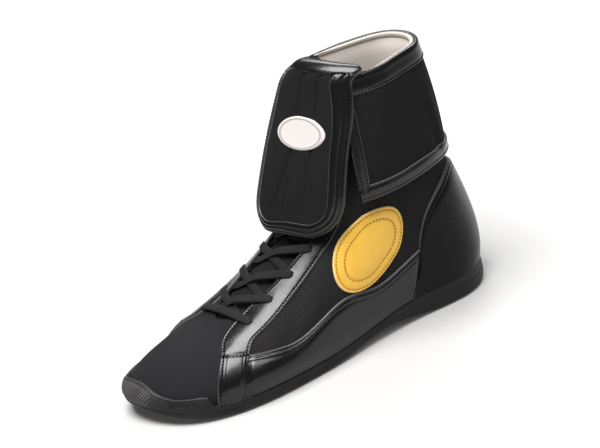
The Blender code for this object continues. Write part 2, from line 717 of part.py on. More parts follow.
def lace_over(number, side, rise):
    """Place above the eyestay at a row of holes, with the direction away from the leather."""
    skew = LACE_SKEW if side < 0 else 0.0
    turn = np.array(side_turn(LACE_HOLES[number][0] + skew, side))
    rise = np.array(rise)
    return np.concatenate([wall_offset(turn, rise, LACE_LIFT), wall_normal(turn, rise)])


def lace_exit(number, side):
    """Place where a lace comes out from under the edge of the throat."""
    turn = side_turn(LACE_HOLES[number][0] + LACE_OUT_TURN, side)
    edge = wall_point(np.array(turn), np.array(1.0))
    return np.concatenate([edge - np.array([0.0, side * LACE_OUT_IN, 0.0]), instep_up(number)])


def lace_middle(number, start, end, arch):
    """Place over the ridge of the tongue between two others."""
    up = instep_up(number)
    return np.concatenate([0.5 * (start[:3] + end[:3]) + up * arch, up])


def lace_strip(name, route, material):
    """Flat lace along a smooth route of places and upward directions."""
    line = open_spline(route, np.linspace(0.0, 1.0, LACE_STEPS))
    point, up = line[:, :3], line[:, 3:]
    along = np.gradient(point, axis=0)
    over = np.cross(along, up)
    over /= np.linalg.norm(over, axis=-1, keepdims=True)
    up = np.cross(over, along)
    up /= np.linalg.norm(up, axis=-1, keepdims=True)
    low = np.stack([point - over * LACE_WIDTH / 2, point + over * LACE_WIDTH / 2])
    high = low + np.stack([up, up]) * LACE_THICKNESS
    return sheet_solid(name, high, low, material)


def build_laces(material):
    left, right = (lace_over(0, side, LACE_HOLES[0][1]) for side in (1, -1))
    left_edge, right_edge = (lace_over(0, side, LACE_EDGE_RISE) for side in (1, -1))
    middle = lace_middle(0, left_edge, right_edge, BAR_ARCH)
    lace_strip("lace_bar", [left, left_edge, middle, right_edge, right], material)
    for number in range(len(LACE_HOLES) - 1):
        strips = []
        for side, ending in ((1, ""), (-1, "_under")):
            start = lace_exit(number, side)
            edge = lace_over(number + 1, -side, LACE_EDGE_RISE)
            hole = lace_over(number + 1, -side, LACE_HOLES[number + 1][1])
            route = [start, lace_middle(number, start, edge, CROSS_ARCH), edge, hole]
            strips.append(lace_strip(f"lace_cross_{number + 1}{ending}", route, material))
        whole, under = strips
        union = whole.modifiers.new("join", "BOOLEAN")
        union.operation = "UNION"
        union.solver = "EXACT"
        union.object = under
        under.hide_render = True
        under.display_type = "WIRE"


def build_overlays(leather):
    for side, name in ((1, "lateral"), (-1, "medial")):
        for piece, rungs, cuts in (("eyestay", EYESTAY_RUNGS, EYESTAY_CUTS), ("strap", STRAP_RUNGS, STRAP_CUTS),
                                   ("foxing", FOXING_RUNGS, FOXING_CUTS)):
            turn, rise = ladder(rungs, *cuts)
            rise = np.maximum(rise, lip_rise(turn, LIP_HEIGHT + 2.0 * PIECE_GAP))
            wall_sheet(f"{piece}_{name}", side_turn(turn, side), rise, leather)
    half = np.array(COUNTER_RUNGS)
    twin = half[:0:-1] * np.array([-1.0, 1.0, -1.0, 1.0])
    turn, rise = ladder(np.vstack([twin, half]), *COUNTER_CUTS)
    rise = np.maximum(rise, lip_rise(turn, LIP_HEIGHT + 2.0 * PIECE_GAP))
    wall_sheet("counter", turn, rise, leather)


def build_shoe():
    for thing in list(bpy.data.objects):
        bpy.data.objects.remove(thing, do_unlink=True)
    rubber = add_material("sole_rubber", (0.03, 0.03, 0.032), 0.55)
    fabric = add_material("upper_fabric", (0.022, 0.022, 0.025), 0.85)
    knit = add_material("cuff_knit", (0.026, 0.026, 0.03), 0.9)
    leather = add_material("trim_leather", (0.02, 0.02, 0.022), 0.3)
    yellow = add_material("patch_leather", (0.72, 0.47, 0.12), 0.45)
    white = add_material("badge_white", (0.85, 0.84, 0.82), 0.5)
    foam = add_material("insole_foam", (0.75, 0.72, 0.66), 0.9)
    cord = add_material("lace_cord", (0.025, 0.025, 0.028), 0.8)
    build_outsole(rubber)
    build_insole(foam)
    build_upper(fabric)
    build_tongue(knit)
    build_flap_binding(leather)
    build_badge(white)
    build_cuff(knit, leather)
    build_overlays(leather)
    for side, name in ((1, "ankle_patch_lateral"), (-1, "ankle_patch_medial")):
        build_ankle_patch(side, name, yellow)
    build_laces(cord)


build_shoe()
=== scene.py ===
import math

import bmesh
import bpy
import numpy as np
from mathutils import Matrix, Vector


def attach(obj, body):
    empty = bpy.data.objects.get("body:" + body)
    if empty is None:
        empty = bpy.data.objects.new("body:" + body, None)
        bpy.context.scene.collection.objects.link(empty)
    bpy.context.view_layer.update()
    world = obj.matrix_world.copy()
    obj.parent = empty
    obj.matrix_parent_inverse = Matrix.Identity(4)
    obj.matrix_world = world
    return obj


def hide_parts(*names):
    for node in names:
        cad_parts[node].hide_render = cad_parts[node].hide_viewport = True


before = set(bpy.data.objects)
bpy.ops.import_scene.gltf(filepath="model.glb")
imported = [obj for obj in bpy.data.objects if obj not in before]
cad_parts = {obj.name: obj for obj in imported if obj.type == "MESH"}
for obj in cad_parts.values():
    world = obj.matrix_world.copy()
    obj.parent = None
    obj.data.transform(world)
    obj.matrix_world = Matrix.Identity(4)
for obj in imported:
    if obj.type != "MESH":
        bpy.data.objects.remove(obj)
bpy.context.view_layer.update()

# Lengths in this script are millimetres: x forward from the heel's back, y to the outer side, z up
mm = 0.001
shoe = dict(length=281.0, ballHalf=48.0, collar=188.0, heelRestX=38.0)

camera = dict(place=(519.7, 1009.9, 608.2), aim=(90.8, -3.5, 82.6), roll=-12.9, lens=110.4, sensor=36.0,
              clip=(0.05, 40.0))


# looks from place to aim, turned about its line of sight by the roll
def makeCamera():
    place, aim = Vector(camera["place"]) * mm, Vector(camera["aim"]) * mm
    ahead = (aim - place).normalized()
    level = ahead.cross(Vector((0, 0, 1))).normalized()
    roll = math.radians(camera["roll"])
    right = level * math.cos(roll) + level.cross(ahead) * math.sin(roll)
    up = right.cross(ahead)
    lens = bpy.data.cameras.new("camera")
    lens.sensor_fit = "HORIZONTAL"
    lens.sensor_width = camera["sensor"]
    lens.lens = camera["lens"]
    lens.clip_start, lens.clip_end = camera["clip"]
    eye = bpy.data.objects.new("camera", lens)
    turn = Matrix((right, up, -ahead)).transposed().to_4x4()
    eye.matrix_world = Matrix.Translation(place) @ turn
    bpy.context.scene.collection.objects.link(eye)
    bpy.context.scene.camera = eye


makeCamera()
print("camera set")


# Curves and the upper's wall

# 3s^2 - 2s^3 of the value held between 0 and 1
def smoothStep(value):
    share = np.clip(value, 0.0, 1.0)
    return share * share * (3.0 - 2.0 * share)


# smooth climb from 0 to 1 over a length after the start; pairs named From or Side below are these two
def ease(value, start, length):
    return smoothStep((value - start) / length)


# smooth fall from 1 to 0 over a length before the end; pairs named To or Top below are these two
def fade(value, end, length):
    return smoothStep((end - value) / length)


# quarter of a circle: climbs steeply from 0 and levels out at 1
def quarterRound(share):
    return np.sqrt(1.0 - (1.0 - np.clip(share, 0, 1)) ** 2)


# even angles round a full turn
def circle(count):
    return np.arange(count) * 2 * math.pi / count


# bell of height 1: e to the minus square of distance over width
def bell(distance, width):
    return np.exp(-(distance / width) ** 2)


# row by row matrix of 1/6, 4/6, 1/6 solved for the control points of a closed cubic spline
def loopWeights(rows):
    eye = np.eye(len(rows))
    matrix = (4.0 * eye + np.roll(eye, 1, axis=1) + np.roll(eye, -1, axis=1)) / 6.0
    return np.linalg.solve(matrix, rows)


# cubic blend of the four control points about a turn
def splineAt(weights, turn):
    turn = np.asarray(turn, float)
    base = np.floor(turn).astype(int)
    s = (turn - base)[..., None]
    blend = ((1 - s) ** 3, 3 * s ** 3 - 6 * s ** 2 + 4, -3 * s ** 3 + 3 * s ** 2 + 3 * s + 1, s ** 3)
    return sum(b * weights[(base + k) % len(weights)] for b, k in zip(blend, (-1, 0, 1, 2))) / 6.0


# open cubic spline through the rows, place 0 at the first row and 1 at the last
def openSpline(rows, place):
    rows = np.asarray(rows, float)
    count = len(rows)
    matrix = np.eye(count)
    for i in range(1, count - 1):
        matrix[i, i - 1:i + 2] = (1.0 / 6.0, 4.0 / 6.0, 1.0 / 6.0)
    inner = np.linalg.solve(matrix, rows)
    last = 2.0 * inner[-1] - inner[-2]
    weights = np.vstack([2.0 * inner[0] - inner[1], inner, last, last])
    step = np.clip(np.asarray(place, float), 0.0, 1.0) * (count - 1)
    return splineAt(weights, np.minimum(step + 1.0, count - 1e-9))


# length from the first point to each point of a polyline
def lengthAlong(points):
    gaps = np.linalg.norm(np.diff(points, axis=0), axis=1)
    return np.concatenate([[0.0], np.cumsum(gaps)])


# points at even arc lengths along a polyline, with each other value carried along
def evenly(line, step):
    length = lengthAlong(line[:, :3])
    places = np.linspace(0.0, length[-1], max(2, int(round(length[-1] / step)) + 1))
    return np.stack([np.interp(places, length, line[:, k]) for k in range(line.shape[1])], -1)


# even points, then each point moved to the mean of itself and its two neighbours, ends held
def softLine(line, step, passes):
    line = evenly(np.asarray(line, float), step)
    for _ in range(passes):
        line[1:-1] = (line[:-2] + line[1:-1] + line[2:]) / 3.0
    return line


# vectors divided by their own lengths
def unit(vectors):
    return vectors / np.linalg.norm(vectors, axis=-1, keepdims=True)


sole = dict(heelEdge=15.2, foreEdge=7.6, toeSpring=12.0, archRise=5.5, heelFlat=(22.0, 54.0),
            ballFlat=(152.0, 214.0), heelBevel=6.0, springPower=1.8, springLimit=1.2,
            dropFrom=65.0, dropLength=88.0, edgeSpring=0.6, edgeLead=10.0)


# level at heel and ball, sine squared at the arch, power curves at toe and heel
def bottomHeight(x):
    heelFrom, heelTo = sole["heelFlat"]
    ballFrom, ballTo = sole["ballFlat"]
    arch = np.clip((x - heelTo) / (ballFrom - heelTo), 0.0, 1.0)
    toe = np.clip((x - ballTo) / (shoe["length"] - ballTo), 0.0, sole["springLimit"])
    heel = np.clip((heelFrom - x) / heelFrom, 0.0, sole["springLimit"])
    return (sole["archRise"] * np.sin(math.pi * arch) ** 2 + sole["toeSpring"] * toe ** sole["springPower"]
            + sole["heelBevel"] * heel ** 2)


# line where upper and sole meet: heel height eased down to the forefoot, lifted again at the toe
def featherHeight(x):
    drop = ease(x, sole["dropFrom"], sole["dropLength"])
    ballTo = sole["ballFlat"][1]
    toe = np.clip((x - ballTo + sole["edgeLead"]) / (shoe["length"] - ballTo), 0.0, sole["springLimit"])
    lift = sole["edgeSpring"] * sole["toeSpring"] * toe ** sole["springPower"]
    return sole["heelEdge"] + (sole["foreEdge"] - sole["heelEdge"]) * drop + lift


# sections from the heel (0) to the toe (10): foot x, outer y, inner y, rim x, rim y, rim z in percent of
# length, half width and collar height, then belly out and up, shoulder out and down in millimetres
wallRows = np.array([
    (2.7, 0.0, 0.0, 8.8, 0.0, 96.8, 11.0, 45.0, -9.5, 73.0),
    (5.8, 42.0, 41.0, 11.2, 35.0, 96.8, 7.5, 42.0, -7.5, 72.0),
    (12.8, 65.0, 63.0, 17.8, 51.0, 96.8, 6.0, 40.0, 1.5, 72.0),
    (23.5, 68.0, 65.0, 26.3, 62.0, 96.3, 5.0, 38.0, 1.0, 72.0),
    (34.9, 75.0, 60.0, 31.0, 54.0, 92.5, 5.0, 40.0, 8.0, 75.0),
    (46.3, 86.0, 62.0, 36.5, 50.0, 68.0, 3.0, 34.0, 9.0, 42.0),
    (58.0, 96.0, 72.0, 43.1, 44.0, 49.5, 2.0, 27.0, 13.0, 24.0),
    (69.4, 101.0, 84.0, 52.7, 40.0, 38.3, 1.5, 22.0, 15.0, 15.0),
    (79.9, 94.0, 86.0, 62.6, 36.0, 29.8, 1.5, 18.0, 15.0, 10.0),
    (90.6, 62.0, 67.0, 69.8, 22.0, 25.0, 2.0, 14.0, 19.0, 7.0),
    (97.0, -12.0, 12.0, 72.2, 0.0, 23.8, 2.0, 11.0, 28.0, 7.0),
])
halfTurn, fullTurn = 10, 20


# rows of the outer side, then of the inner side mirrored, in millimetres and as a spline's control points
def wallHandles():
    order = np.concatenate([np.arange(halfTurn + 1), np.arange(halfTurn - 1, 0, -1)])
    outer = np.arange(fullTurn) <= halfTurn
    rows = wallRows[order]
    side = np.where(outer, 1.0, -1.0)
    footY = np.where(outer, rows[:, 1], -rows[:, 2])
    along, wide, high = shoe["length"] / 100, shoe["ballHalf"] / 100, shoe["collar"] / 100
    return loopWeights(np.column_stack([rows[:, 0] * along, footY * wide, rows[:, 3] * along,
                                        side * rows[:, 4] * wide, rows[:, 5] * high, rows[:, 6:]]))


wallWeights = wallHandles()


# cubic Bezier from the sole line by belly and shoulder to the rim, its handles splined round the shoe
def wallPoint(turn, rise):
    turn, rise = np.broadcast_arrays(np.asarray(turn, float), np.asarray(rise, float))
    value = splineAt(wallWeights, turn)
    along = unit(splineAt(wallWeights, turn + 0.01)[..., :2] - splineAt(wallWeights, turn - 0.01)[..., :2])
    out = np.stack([-along[..., 1], along[..., 0], 0 * turn], -1)
    up = np.array([0.0, 0.0, 1.0])
    foot = np.stack([value[..., 0], value[..., 1], featherHeight(value[..., 0])], -1)
    rim = value[..., 2:5]
    belly = foot + out * value[..., 5:6] + up * value[..., 6:7]
    shoulder = rim + out * value[..., 7:8] - up * value[..., 8:9]
    h = rise[..., None]
    return foot * (1 - h) ** 3 + 3 * belly * h * (1 - h) ** 2 + 3 * shoulder * h ** 2 * (1 - h) + rim * h ** 3


# cross product of a small step up the wall and one round it
def wallNormal(turn, rise):
    step = 0.004
    around = wallPoint(turn + step, rise) - wallPoint(turn - step, rise)
    upward = wallPoint(turn, rise + step) - wallPoint(turn, rise - step)
    return unit(np.cross(upward, around))


# point moved outward along the normal
def wallOffset(turn, rise, distance):
    turn, rise, distance = np.broadcast_arrays(*(np.asarray(v, float) for v in (turn, rise, distance)))
    return wallPoint(turn, rise) + wallNormal(turn, rise) * distance[..., None]


# points above the wall with the way up from it, six values each
def wallLine(turn, rise, height):
    turn, rise = np.asarray(turn, float), np.asarray(rise, float)
    return np.concatenate([wallOffset(turn, rise, height), wallNormal(turn, rise)], -1)


# rise at a small height over the sole line, where the Bezier climbs at three times the belly's height
def lipRise(turn, height):
    return height / (3.0 * splineAt(wallWeights, turn)[..., 6])


# the inner side's turns run backwards
def sideTurn(turn, side):
    return turn if side > 0 else fullTurn - turn


# turns of a half from heel to toe, then back along the other side
def bothSides(half):
    return np.concatenate([half, fullTurn - half[-2:0:-1]])


# turn counted from the heel (0) to the toe (10) on either side
def fromHeel(turn):
    return halfTurn - np.abs(np.mod(turn, fullTurn) - halfTurn)


# soft troughs (below 0) and ridges of the worn cloth: from turn, rise to turn, rise, then width and depth
creases = dict(plane=(26.0, 80.0), ripple=0.12, rippleTurn=2.3, rippleRise=(5.0, 9.0), rows=(
    (8.75, 0.62, 9.35, 0.86, 5.0, -0.5), (9.0, 0.45, 9.5, 0.6, 6.0, -0.35),
    (6.95, 0.66, 6.75, 0.4, 4.5, -0.7), (6.3, 0.72, 6.2, 0.45, 5.0, 0.6),
    (4.55, 0.62, 4.05, 0.34, 5.0, -0.9), (3.75, 0.58, 3.45, 0.33, 5.0, 0.8),
    (3.1, 0.56, 3.0, 0.36, 4.5, -0.8), (2.2, 0.6, 1.2, 0.58, 5.0, -0.5)))


# distance from a point to a segment in the plane
def segmentDistance(px, py, ax, ay, bx, by):
    share = np.clip(((px - ax) * (bx - ax) + (py - ay) * (by - ay)) / ((bx - ax) ** 2 + (by - ay) ** 2), 0, 1)
    return np.hypot(px - ax - share * (bx - ax), py - ay - share * (by - ay))


# total with a bell about each line added: rows of both ends, width and depth, in a plane of millimetres
def addCreases(total, rows, first, second, plane):
    wide, tall = plane
    for a0, b0, a1, b1, width, depth in rows:
        away = segmentDistance(first * wide, second * tall, a0 * wide, b0 * tall, a1 * wide, b1 * tall)
        total = total + depth * bell(away, width)
    return total


# a slight ripple and the crease lines, the same on both sides of the shoe
def wallRelief(turn, rise):
    place = fromHeel(turn)
    slant, level = creases["rippleRise"]
    ripple = creases["ripple"] * np.sin(creases["rippleTurn"] * place + slant * rise) * np.sin(level * rise)
    return addCreases(ripple, creases["rows"], place, rise, creases["plane"])


# Meshes

# quads of a grid stored row by row, with wrap its columns close to a ring
def gridQuads(rows, columns, wrap=False, start=0):
    index = start + np.arange(rows * columns).reshape(rows, columns)
    if wrap:
        index = np.hstack([index, index[:, :1]])
    return np.stack([index[:-1, :-1], index[:-1, 1:], index[1:, 1:], index[1:, :-1]], -1).reshape(-1, 4)


# outer grid, inner grid turned round, and strips along the open edges
def shellQuads(rows, columns, wrap=False):
    size = rows * columns
    index = np.arange(size).reshape(rows, columns)
    if wrap:
        index = np.hstack([index, index[:, :1]])
    front = gridQuads(rows, columns, wrap)
    lines = [index[0], index[-1][::-1]]
    if not wrap:
        lines += [index[::-1, 0], index[:, -1]]
    strips = [np.stack([line[:-1], line[:-1] + size, line[1:] + size, line[1:]], -1) for line in lines]
    return np.vstack([front, front[:, ::-1] + size, *strips])


# sections of equal count joined along a path, with a face over each end
def tubeFaces(count, sides, start=0):
    ends = np.stack([np.arange(sides)[::-1], np.arange(sides) + (count - 1) * sides]) + start
    return [gridQuads(count, sides, True, start), ends]


# front and back of a disc of rings, the strip round its rim and a face over each middle
def discFaces(rings, spokes):
    size = rings * spokes
    front = gridQuads(rings, spokes, True)
    rim = np.arange(size - spokes, size)
    after = np.roll(rim, -1)
    strip = np.stack([after, rim, rim + size, after + size], -1)
    middles = np.stack([np.arange(spokes)[::-1], size + np.arange(spokes)])
    return [front, front[:, ::-1] + size, strip, middles]


# strips from each point of a ring to its twin on the other side, cut into even shares
def ringFill(ring, cuts):
    half = len(ring) // 2
    near = ring[:half + 1]
    far = ring[(-np.arange(half + 1)) % len(ring)]
    share = np.linspace(0.0, 1.0, cuts)[:, None, None]
    return near[None] * (1 - share) + far[None] * share


# closed body: rings as its side, a fill under the first of them and one over the last
def filledBody(rings, under, over):
    points = np.concatenate([part.reshape(-1, 3) for part in (rings, under, over)])
    count, columns = rings.shape[:2]
    start = count * columns
    lower = gridQuads(*under.shape[:2], start=start)
    upperFill = gridQuads(*over.shape[:2], start=start + under.shape[0] * under.shape[1])
    return points, [gridQuads(count, columns, True), lower, upperFill[:, ::-1]]


# each corner swapped for two points a little before and after it
def blunt(rings, reach):
    before, after = rings[:-2] - rings[1:-1], rings[2:] - rings[1:-1]

    def short(step):
        size = np.linalg.norm(step, axis=-1, keepdims=True)
        return step / np.maximum(size, 1e-9) * np.minimum(reach, 0.4 * size)   # stays short of the next corner

    pair = np.stack([rings[1:-1] + short(before), rings[1:-1] + short(after)], 1)
    return np.concatenate([rings[:1], pair.reshape(-1, *rings.shape[1:]), rings[-1:]])


# the same for a closed section, of which the first corner stays sharp
def bluntLoop(rings, reach):
    return np.concatenate([rings[:1], blunt(np.concatenate([rings, rings[:1]]), reach)[1:-1]])


# six times the volume inside the faces, each fanned from its first corner
def signedVolume(points, faces):
    total = 0.0
    for group in faces:
        corner = points[group]
        for k in range(1, group.shape[1] - 1):
            total += np.sum(corner[:, 0] * np.cross(corner[:, k], corner[:, k + 1]))
    return total


# turns each closed part of a joined mesh so that its own volume is positive
def orient(pieces, faces):
    points = np.concatenate(pieces)
    result, begin = [], 0
    for piece in pieces:
        end = begin + len(piece)
        groups = [group for group in faces if begin <= group.min() and group.max() < end]
        inverted = signedVolume(points, groups) < 0
        result += [group[:, ::-1] if inverted else group for group in groups]
        begin = end
    return result


# mesh in metres about the heel rest with its faces outwards, its uv, marks and finish, then its slot and nodes
def addPiece(name, points, faces, material, nodes=(), uv=None, marks=None, sharp=50.0, merge=False):
    points = (np.asarray(points, float).reshape(-1, 3) - np.array([shoe["heelRestX"], 0.0, 0.0])) * mm
    faces = faces if isinstance(faces, list) else [faces]
    if signedVolume(points, faces) < 0:
        faces = [group[:, ::-1] for group in faces]
    mesh = bpy.data.meshes.new(name)
    mesh.from_pydata(points.tolist(), [], [face for group in faces for face in group.tolist()])
    if uv is not None:
        layer = mesh.uv_layers.new(name="surface")
        flat = np.concatenate([np.asarray(uv).reshape(-1, 2)[group.ravel()] for group in faces])
        layer.data.foreach_set("uv", flat.astype(np.float32).ravel())
    for key, values in (marks or {}).items():
        layer = mesh.attributes.new(key, "FLOAT", "POINT")
        layer.data.foreach_set("value", np.ravel(values).astype(np.float32))
    if merge:
        form = bmesh.new()
        form.from_mesh(mesh)
        bmesh.ops.remove_doubles(form, verts=form.verts, dist=1e-6)
        form.to_mesh(mesh)
        form.free()
    mesh.shade_smooth()
    mesh.set_sharp_from_angle(angle=math.radians(sharp))
    mesh.materials.append(material)
    piece = bpy.data.objects.new(name, mesh)
    bpy.context.scene.collection.objects.link(piece)
    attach(piece, "root")
    if nodes:
        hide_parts(*nodes)


# Finishes

# a socket that takes part in sums: each operator adds a Math node
class Wire:
    def __init__(self, finish, socket):
        self.finish = finish
        self.socket = socket

    def __add__(self, other): return self.finish.maths("ADD", self, other)
    def __radd__(self, other): return self.finish.maths("ADD", other, self)
    def __sub__(self, other): return self.finish.maths("SUBTRACT", self, other)
    def __rsub__(self, other): return self.finish.maths("SUBTRACT", other, self)
    def __mul__(self, other): return self.finish.maths("MULTIPLY", self, other)
    def __rmul__(self, other): return self.finish.maths("MULTIPLY", other, self)


# share of a colour's own brightness
def tint(colour, share):
    return tuple(share * v for v in colour)


# one material: its shader with fixed values, and short names for the nodes that feed it
class Finish:
    def __init__(self, name, fixed):
        self.material = bpy.data.materials.new(name)
        self.material.use_nodes = True
        self.tree = self.material.node_tree
        self.shader = self.tree.nodes["Principled BSDF"]
        for key, value in fixed.items():
            self.shader.inputs[key].default_value = value

    # any node: its type, its settings, the values or links of its sockets, and which output is wanted
    def node(self, kind, settings=None, links=None, out=0):
        node = self.tree.nodes.new(kind)
        for key, value in (settings or {}).items():
            setattr(node, key, value)
        for key, value in (links or {}).items():
            self.feed(node.inputs[key], value)
        return Wire(self, node.outputs[out])

    # links a wire, or sets a value, where a colour of three numbers gets its alpha
    def feed(self, socket, value):
        if isinstance(value, Wire):
            self.tree.links.new(value.socket, socket)
        else:
            colour = isinstance(value, tuple) and len(value) == 3 and socket.type == "RGBA"
            socket.default_value = (*value, 1.0) if colour else value

    # one sum on two values, or on the first alone
    def maths(self, operation, first, second=0.0):
        return self.node("ShaderNodeMath", {"operation": operation}, {0: first, 1: second})

    # sine of an angle in radians
    def wave(self, value):
        return self.maths("SINE", value)

    # smooth climb from 0 at low to 1 at high
    def soft(self, value, low, high):
        return self.node("ShaderNodeMapRange", {"interpolation_type": "SMOOTHSTEP"},
                         {"Value": value, "From Min": low, "From Max": high})

    # first colour at share 0, second at 1
    def mix(self, share, first, second):
        return self.node("ShaderNodeMix", {"data_type": "RGBA"}, {0: share, 6: first, 7: second}, 2)

    # cloudy value about 0.5, with scale as its lumps to the metre
    def noise(self, place, scale, detail=2.0, rough=0.5):
        return self.node("ShaderNodeTexNoise", {}, {"Vector": place, "Scale": scale, "Detail": detail,
                                                    "Roughness": rough})

    # how far a point is from the edges of its grain cell
    def cells(self, place, scale):
        return self.node("ShaderNodeTexVoronoi", {"feature": "DISTANCE_TO_EDGE"}, {"Vector": place, "Scale": scale})

    # the point itself, in metres
    def place(self):
        return self.node("ShaderNodeTexCoord", {}, {}, "Object")

    # the piece's own surface, in millimetres
    def surface(self):
        return self.node("ShaderNodeUVMap", {"uv_map": "surface"})

    # x, y and z of a vector
    def axes(self, vector):
        return [self.node("ShaderNodeSeparateXYZ", {}, {0: vector}, k) for k in range(3)]

    # a value stored at the points of the piece
    def mark(self, name):
        return self.node("ShaderNodeAttribute", {"attribute_name": name}, {}, "Fac")

    # normal tilted as if the surface stood out by the height times the distance
    def bump(self, height, distance, strength):
        return self.node("ShaderNodeBump", {}, {"Height": height, "Distance": distance, "Strength": strength})

    # feeds the shader's sockets, named with underscores for spaces
    def done(self, **links):
        for key, value in links.items():
            self.feed(self.shader.inputs[key.replace("_", " ")], value)
        return self.material


cloth = dict(quarter=(0.0148, 0.0139, 0.0144), vamp=(0.0108, 0.0103, 0.0115), dust=(0.035, 0.033, 0.034),
             dustShare=0.1, roughness=0.8, specular=0.12, ribPitch=0.0013, ribSway=1.2, depth=0.00045,
             swayScale=70.0, brokenScale=420.0, weaveScale=2200.0, dustScale=45.0)


# vamp of plain cloth, quarters with ribs level along the shoe: sine of height, waved a little by noise
def clothFinish():
    f = Finish("ribbedCloth", {"Specular IOR Level": cloth["specular"]})
    place = f.place()
    height = f.axes(place)[2]
    sway = f.noise(place, cloth["swayScale"])
    vamp = f.mark("vamp")
    rib = 0.5 + 0.5 * f.wave(height * (2.0 * math.pi / cloth["ribPitch"]) + sway * cloth["ribSway"])
    broken = f.noise(place, cloth["brokenScale"], 3.0)
    weave = f.noise(place, cloth["weaveScale"])
    dusty = f.soft(f.noise(place, cloth["dustScale"], 3.0), 0.35, 0.75)
    ribbed = f.mix(rib * (0.4 + 0.6 * broken), tint(cloth["quarter"], 0.6), tint(cloth["quarter"], 1.7))
    plain = f.mix(weave, tint(cloth["vamp"], 0.75), tint(cloth["vamp"], 1.25))
    colour = f.mix(vamp, ribbed, plain)
    colour = f.mix(dusty * cloth["dustShare"], colour, cloth["dust"])
    relief = (1.0 - vamp) * rib * (0.5 + 0.5 * broken) + 0.35 * weave
    return f.done(Base_Color=colour, Roughness=cloth["roughness"] + 0.15 * (weave - 0.5),
                  Normal=f.bump(relief, cloth["depth"], 0.8))


leather = dict(colour=(0.0045, 0.0044, 0.0046), cutEdge=(0.1, 0.098, 0.097), edgeWidth=(0.28, 0.6),
               roughness=0.24, shine=0.37, heelShine=0.09, coat=0.12, heelCoat=0.05, coatRoughness=0.2,
               depth=0.00022, grainScale=1100.0, broadScale=90.0, fineScale=900.0, scuffScale=160.0, scuffShare=0.12)


# smooth black leather: fine grain cells, broad gloss changes and a pale cut edge read from the edge distance
def leatherFinish(name, shine, coat):
    f = Finish(name, {"Coat Roughness": leather["coatRoughness"], "Specular IOR Level": shine})
    place = f.place()
    edge = 1.0 - f.soft(f.mark("edge"), *leather["edgeWidth"])
    grain = f.soft(f.cells(place, leather["grainScale"]), 0.0, 0.25)
    broad = f.noise(place, leather["broadScale"])
    fine = f.noise(place, leather["fineScale"])
    scuff = f.soft(f.noise(place, leather["scuffScale"], 4.0, 0.7), 0.62, 0.75)
    colour = f.mix(edge * (0.6 + 0.4 * fine), leather["colour"], leather["cutEdge"])
    colour = f.mix(scuff * leather["scuffShare"], colour, leather["cutEdge"])
    rough = leather["roughness"] + 0.16 * (broad - 0.5) + 0.2 * edge + 0.1 * scuff
    return f.done(Base_Color=colour, Roughness=rough, Coat_Weight=coat * (1.0 - 0.8 * edge),
                  Normal=f.bump(0.25 * grain + 2.4 * broad, leather["depth"], 0.35))


knit = dict(colour=(0.0066, 0.0062, 0.0066), pale=(0.0165, 0.0156, 0.0165), pitch=1.1, tall=0.8, roughness=0.85,
            specular=0.12, depth=0.0003, lintScale=1500.0, broadScale=60.0)


# close knit: product of two sines over the piece's own surface, with soft lint
def knitFinish():
    f = Finish("blackKnit", {"Specular IOR Level": knit["specular"]})
    place = f.place()
    u, v, _ = f.axes(f.surface())
    turns = 2.0 * math.pi / knit["pitch"]
    loops = f.wave(u * turns) * f.wave(v * turns * knit["tall"])
    lint = f.noise(place, knit["lintScale"], 3.0)
    broad = f.noise(place, knit["broadScale"], 3.0)
    colour = f.mix(0.25 + 0.2 * loops + 0.3 * (lint - 0.5) + 0.25 * (broad - 0.5), knit["colour"], knit["pale"])
    return f.done(Base_Color=colour, Roughness=knit["roughness"] + 0.1 * (lint - 0.5),
                  Normal=f.bump(0.5 * loops + 0.6 * lint, knit["depth"], 0.7))


# the deep colour is painted shade deeper in the shoe, which comes in below a rise and over a length
lining = dict(colour=(0.8, 0.73, 0.67), shade=(0.7, 0.625, 0.565), deep=(0.5, 0.45, 0.405),
              rim=(0.42, 0.385, 0.35), roughness=0.9, specular=0.2, sheen=0.2, sheenRoughness=0.6, depth=0.0004,
              lintScale=1300.0, broadScale=70.0, columns=200, rows=36, top=0.993, throatDip=0.09,
              throat=(4.1, 0.5), faces=(1.25, 2.0), paintedShadeBelow=(0.968, 0.045))


# brushed cream lining: lint and fine thread noise, painted shade that darkens it deeper in the shoe, and the darker
# rim colour over the whole collar roll
def liningFinish():
    f = Finish("creamLining", {"Specular IOR Level": lining["specular"], "Sheen Weight": lining["sheen"],
                               "Sheen Roughness": lining["sheenRoughness"]})
    place = f.place()
    lint = f.noise(place, lining["lintScale"], 3.0)
    broad = f.noise(place, lining["broadScale"], 3.0)
    colour = f.mix(0.6 * broad + 0.5 * (lint - 0.4), lining["colour"], lining["shade"])
    # painted shade deeper in the shoe
    colour = f.mix(f.mark("deep"), colour, lining["deep"])
    colour = f.mix(f.mark("rim"), colour, lining["rim"])
    return f.done(Base_Color=colour, Roughness=lining["roughness"] + 0.08 * (lint - 0.5),
                  Normal=f.bump(lint, lining["depth"], 0.6))


rubber = dict(colour=(0.007, 0.0068, 0.007), wearAndPaintedLight=(0.045, 0.043, 0.043), crest=(0.11, 0.105, 0.105), roughness=0.5,
              specular=0.22, depth=0.0005, pebbleScale=1400.0, broadScale=90.0,
              treadPitch=0.0045, treadFold=0.009, treadSlant=0.9, treadHeight=2.2)
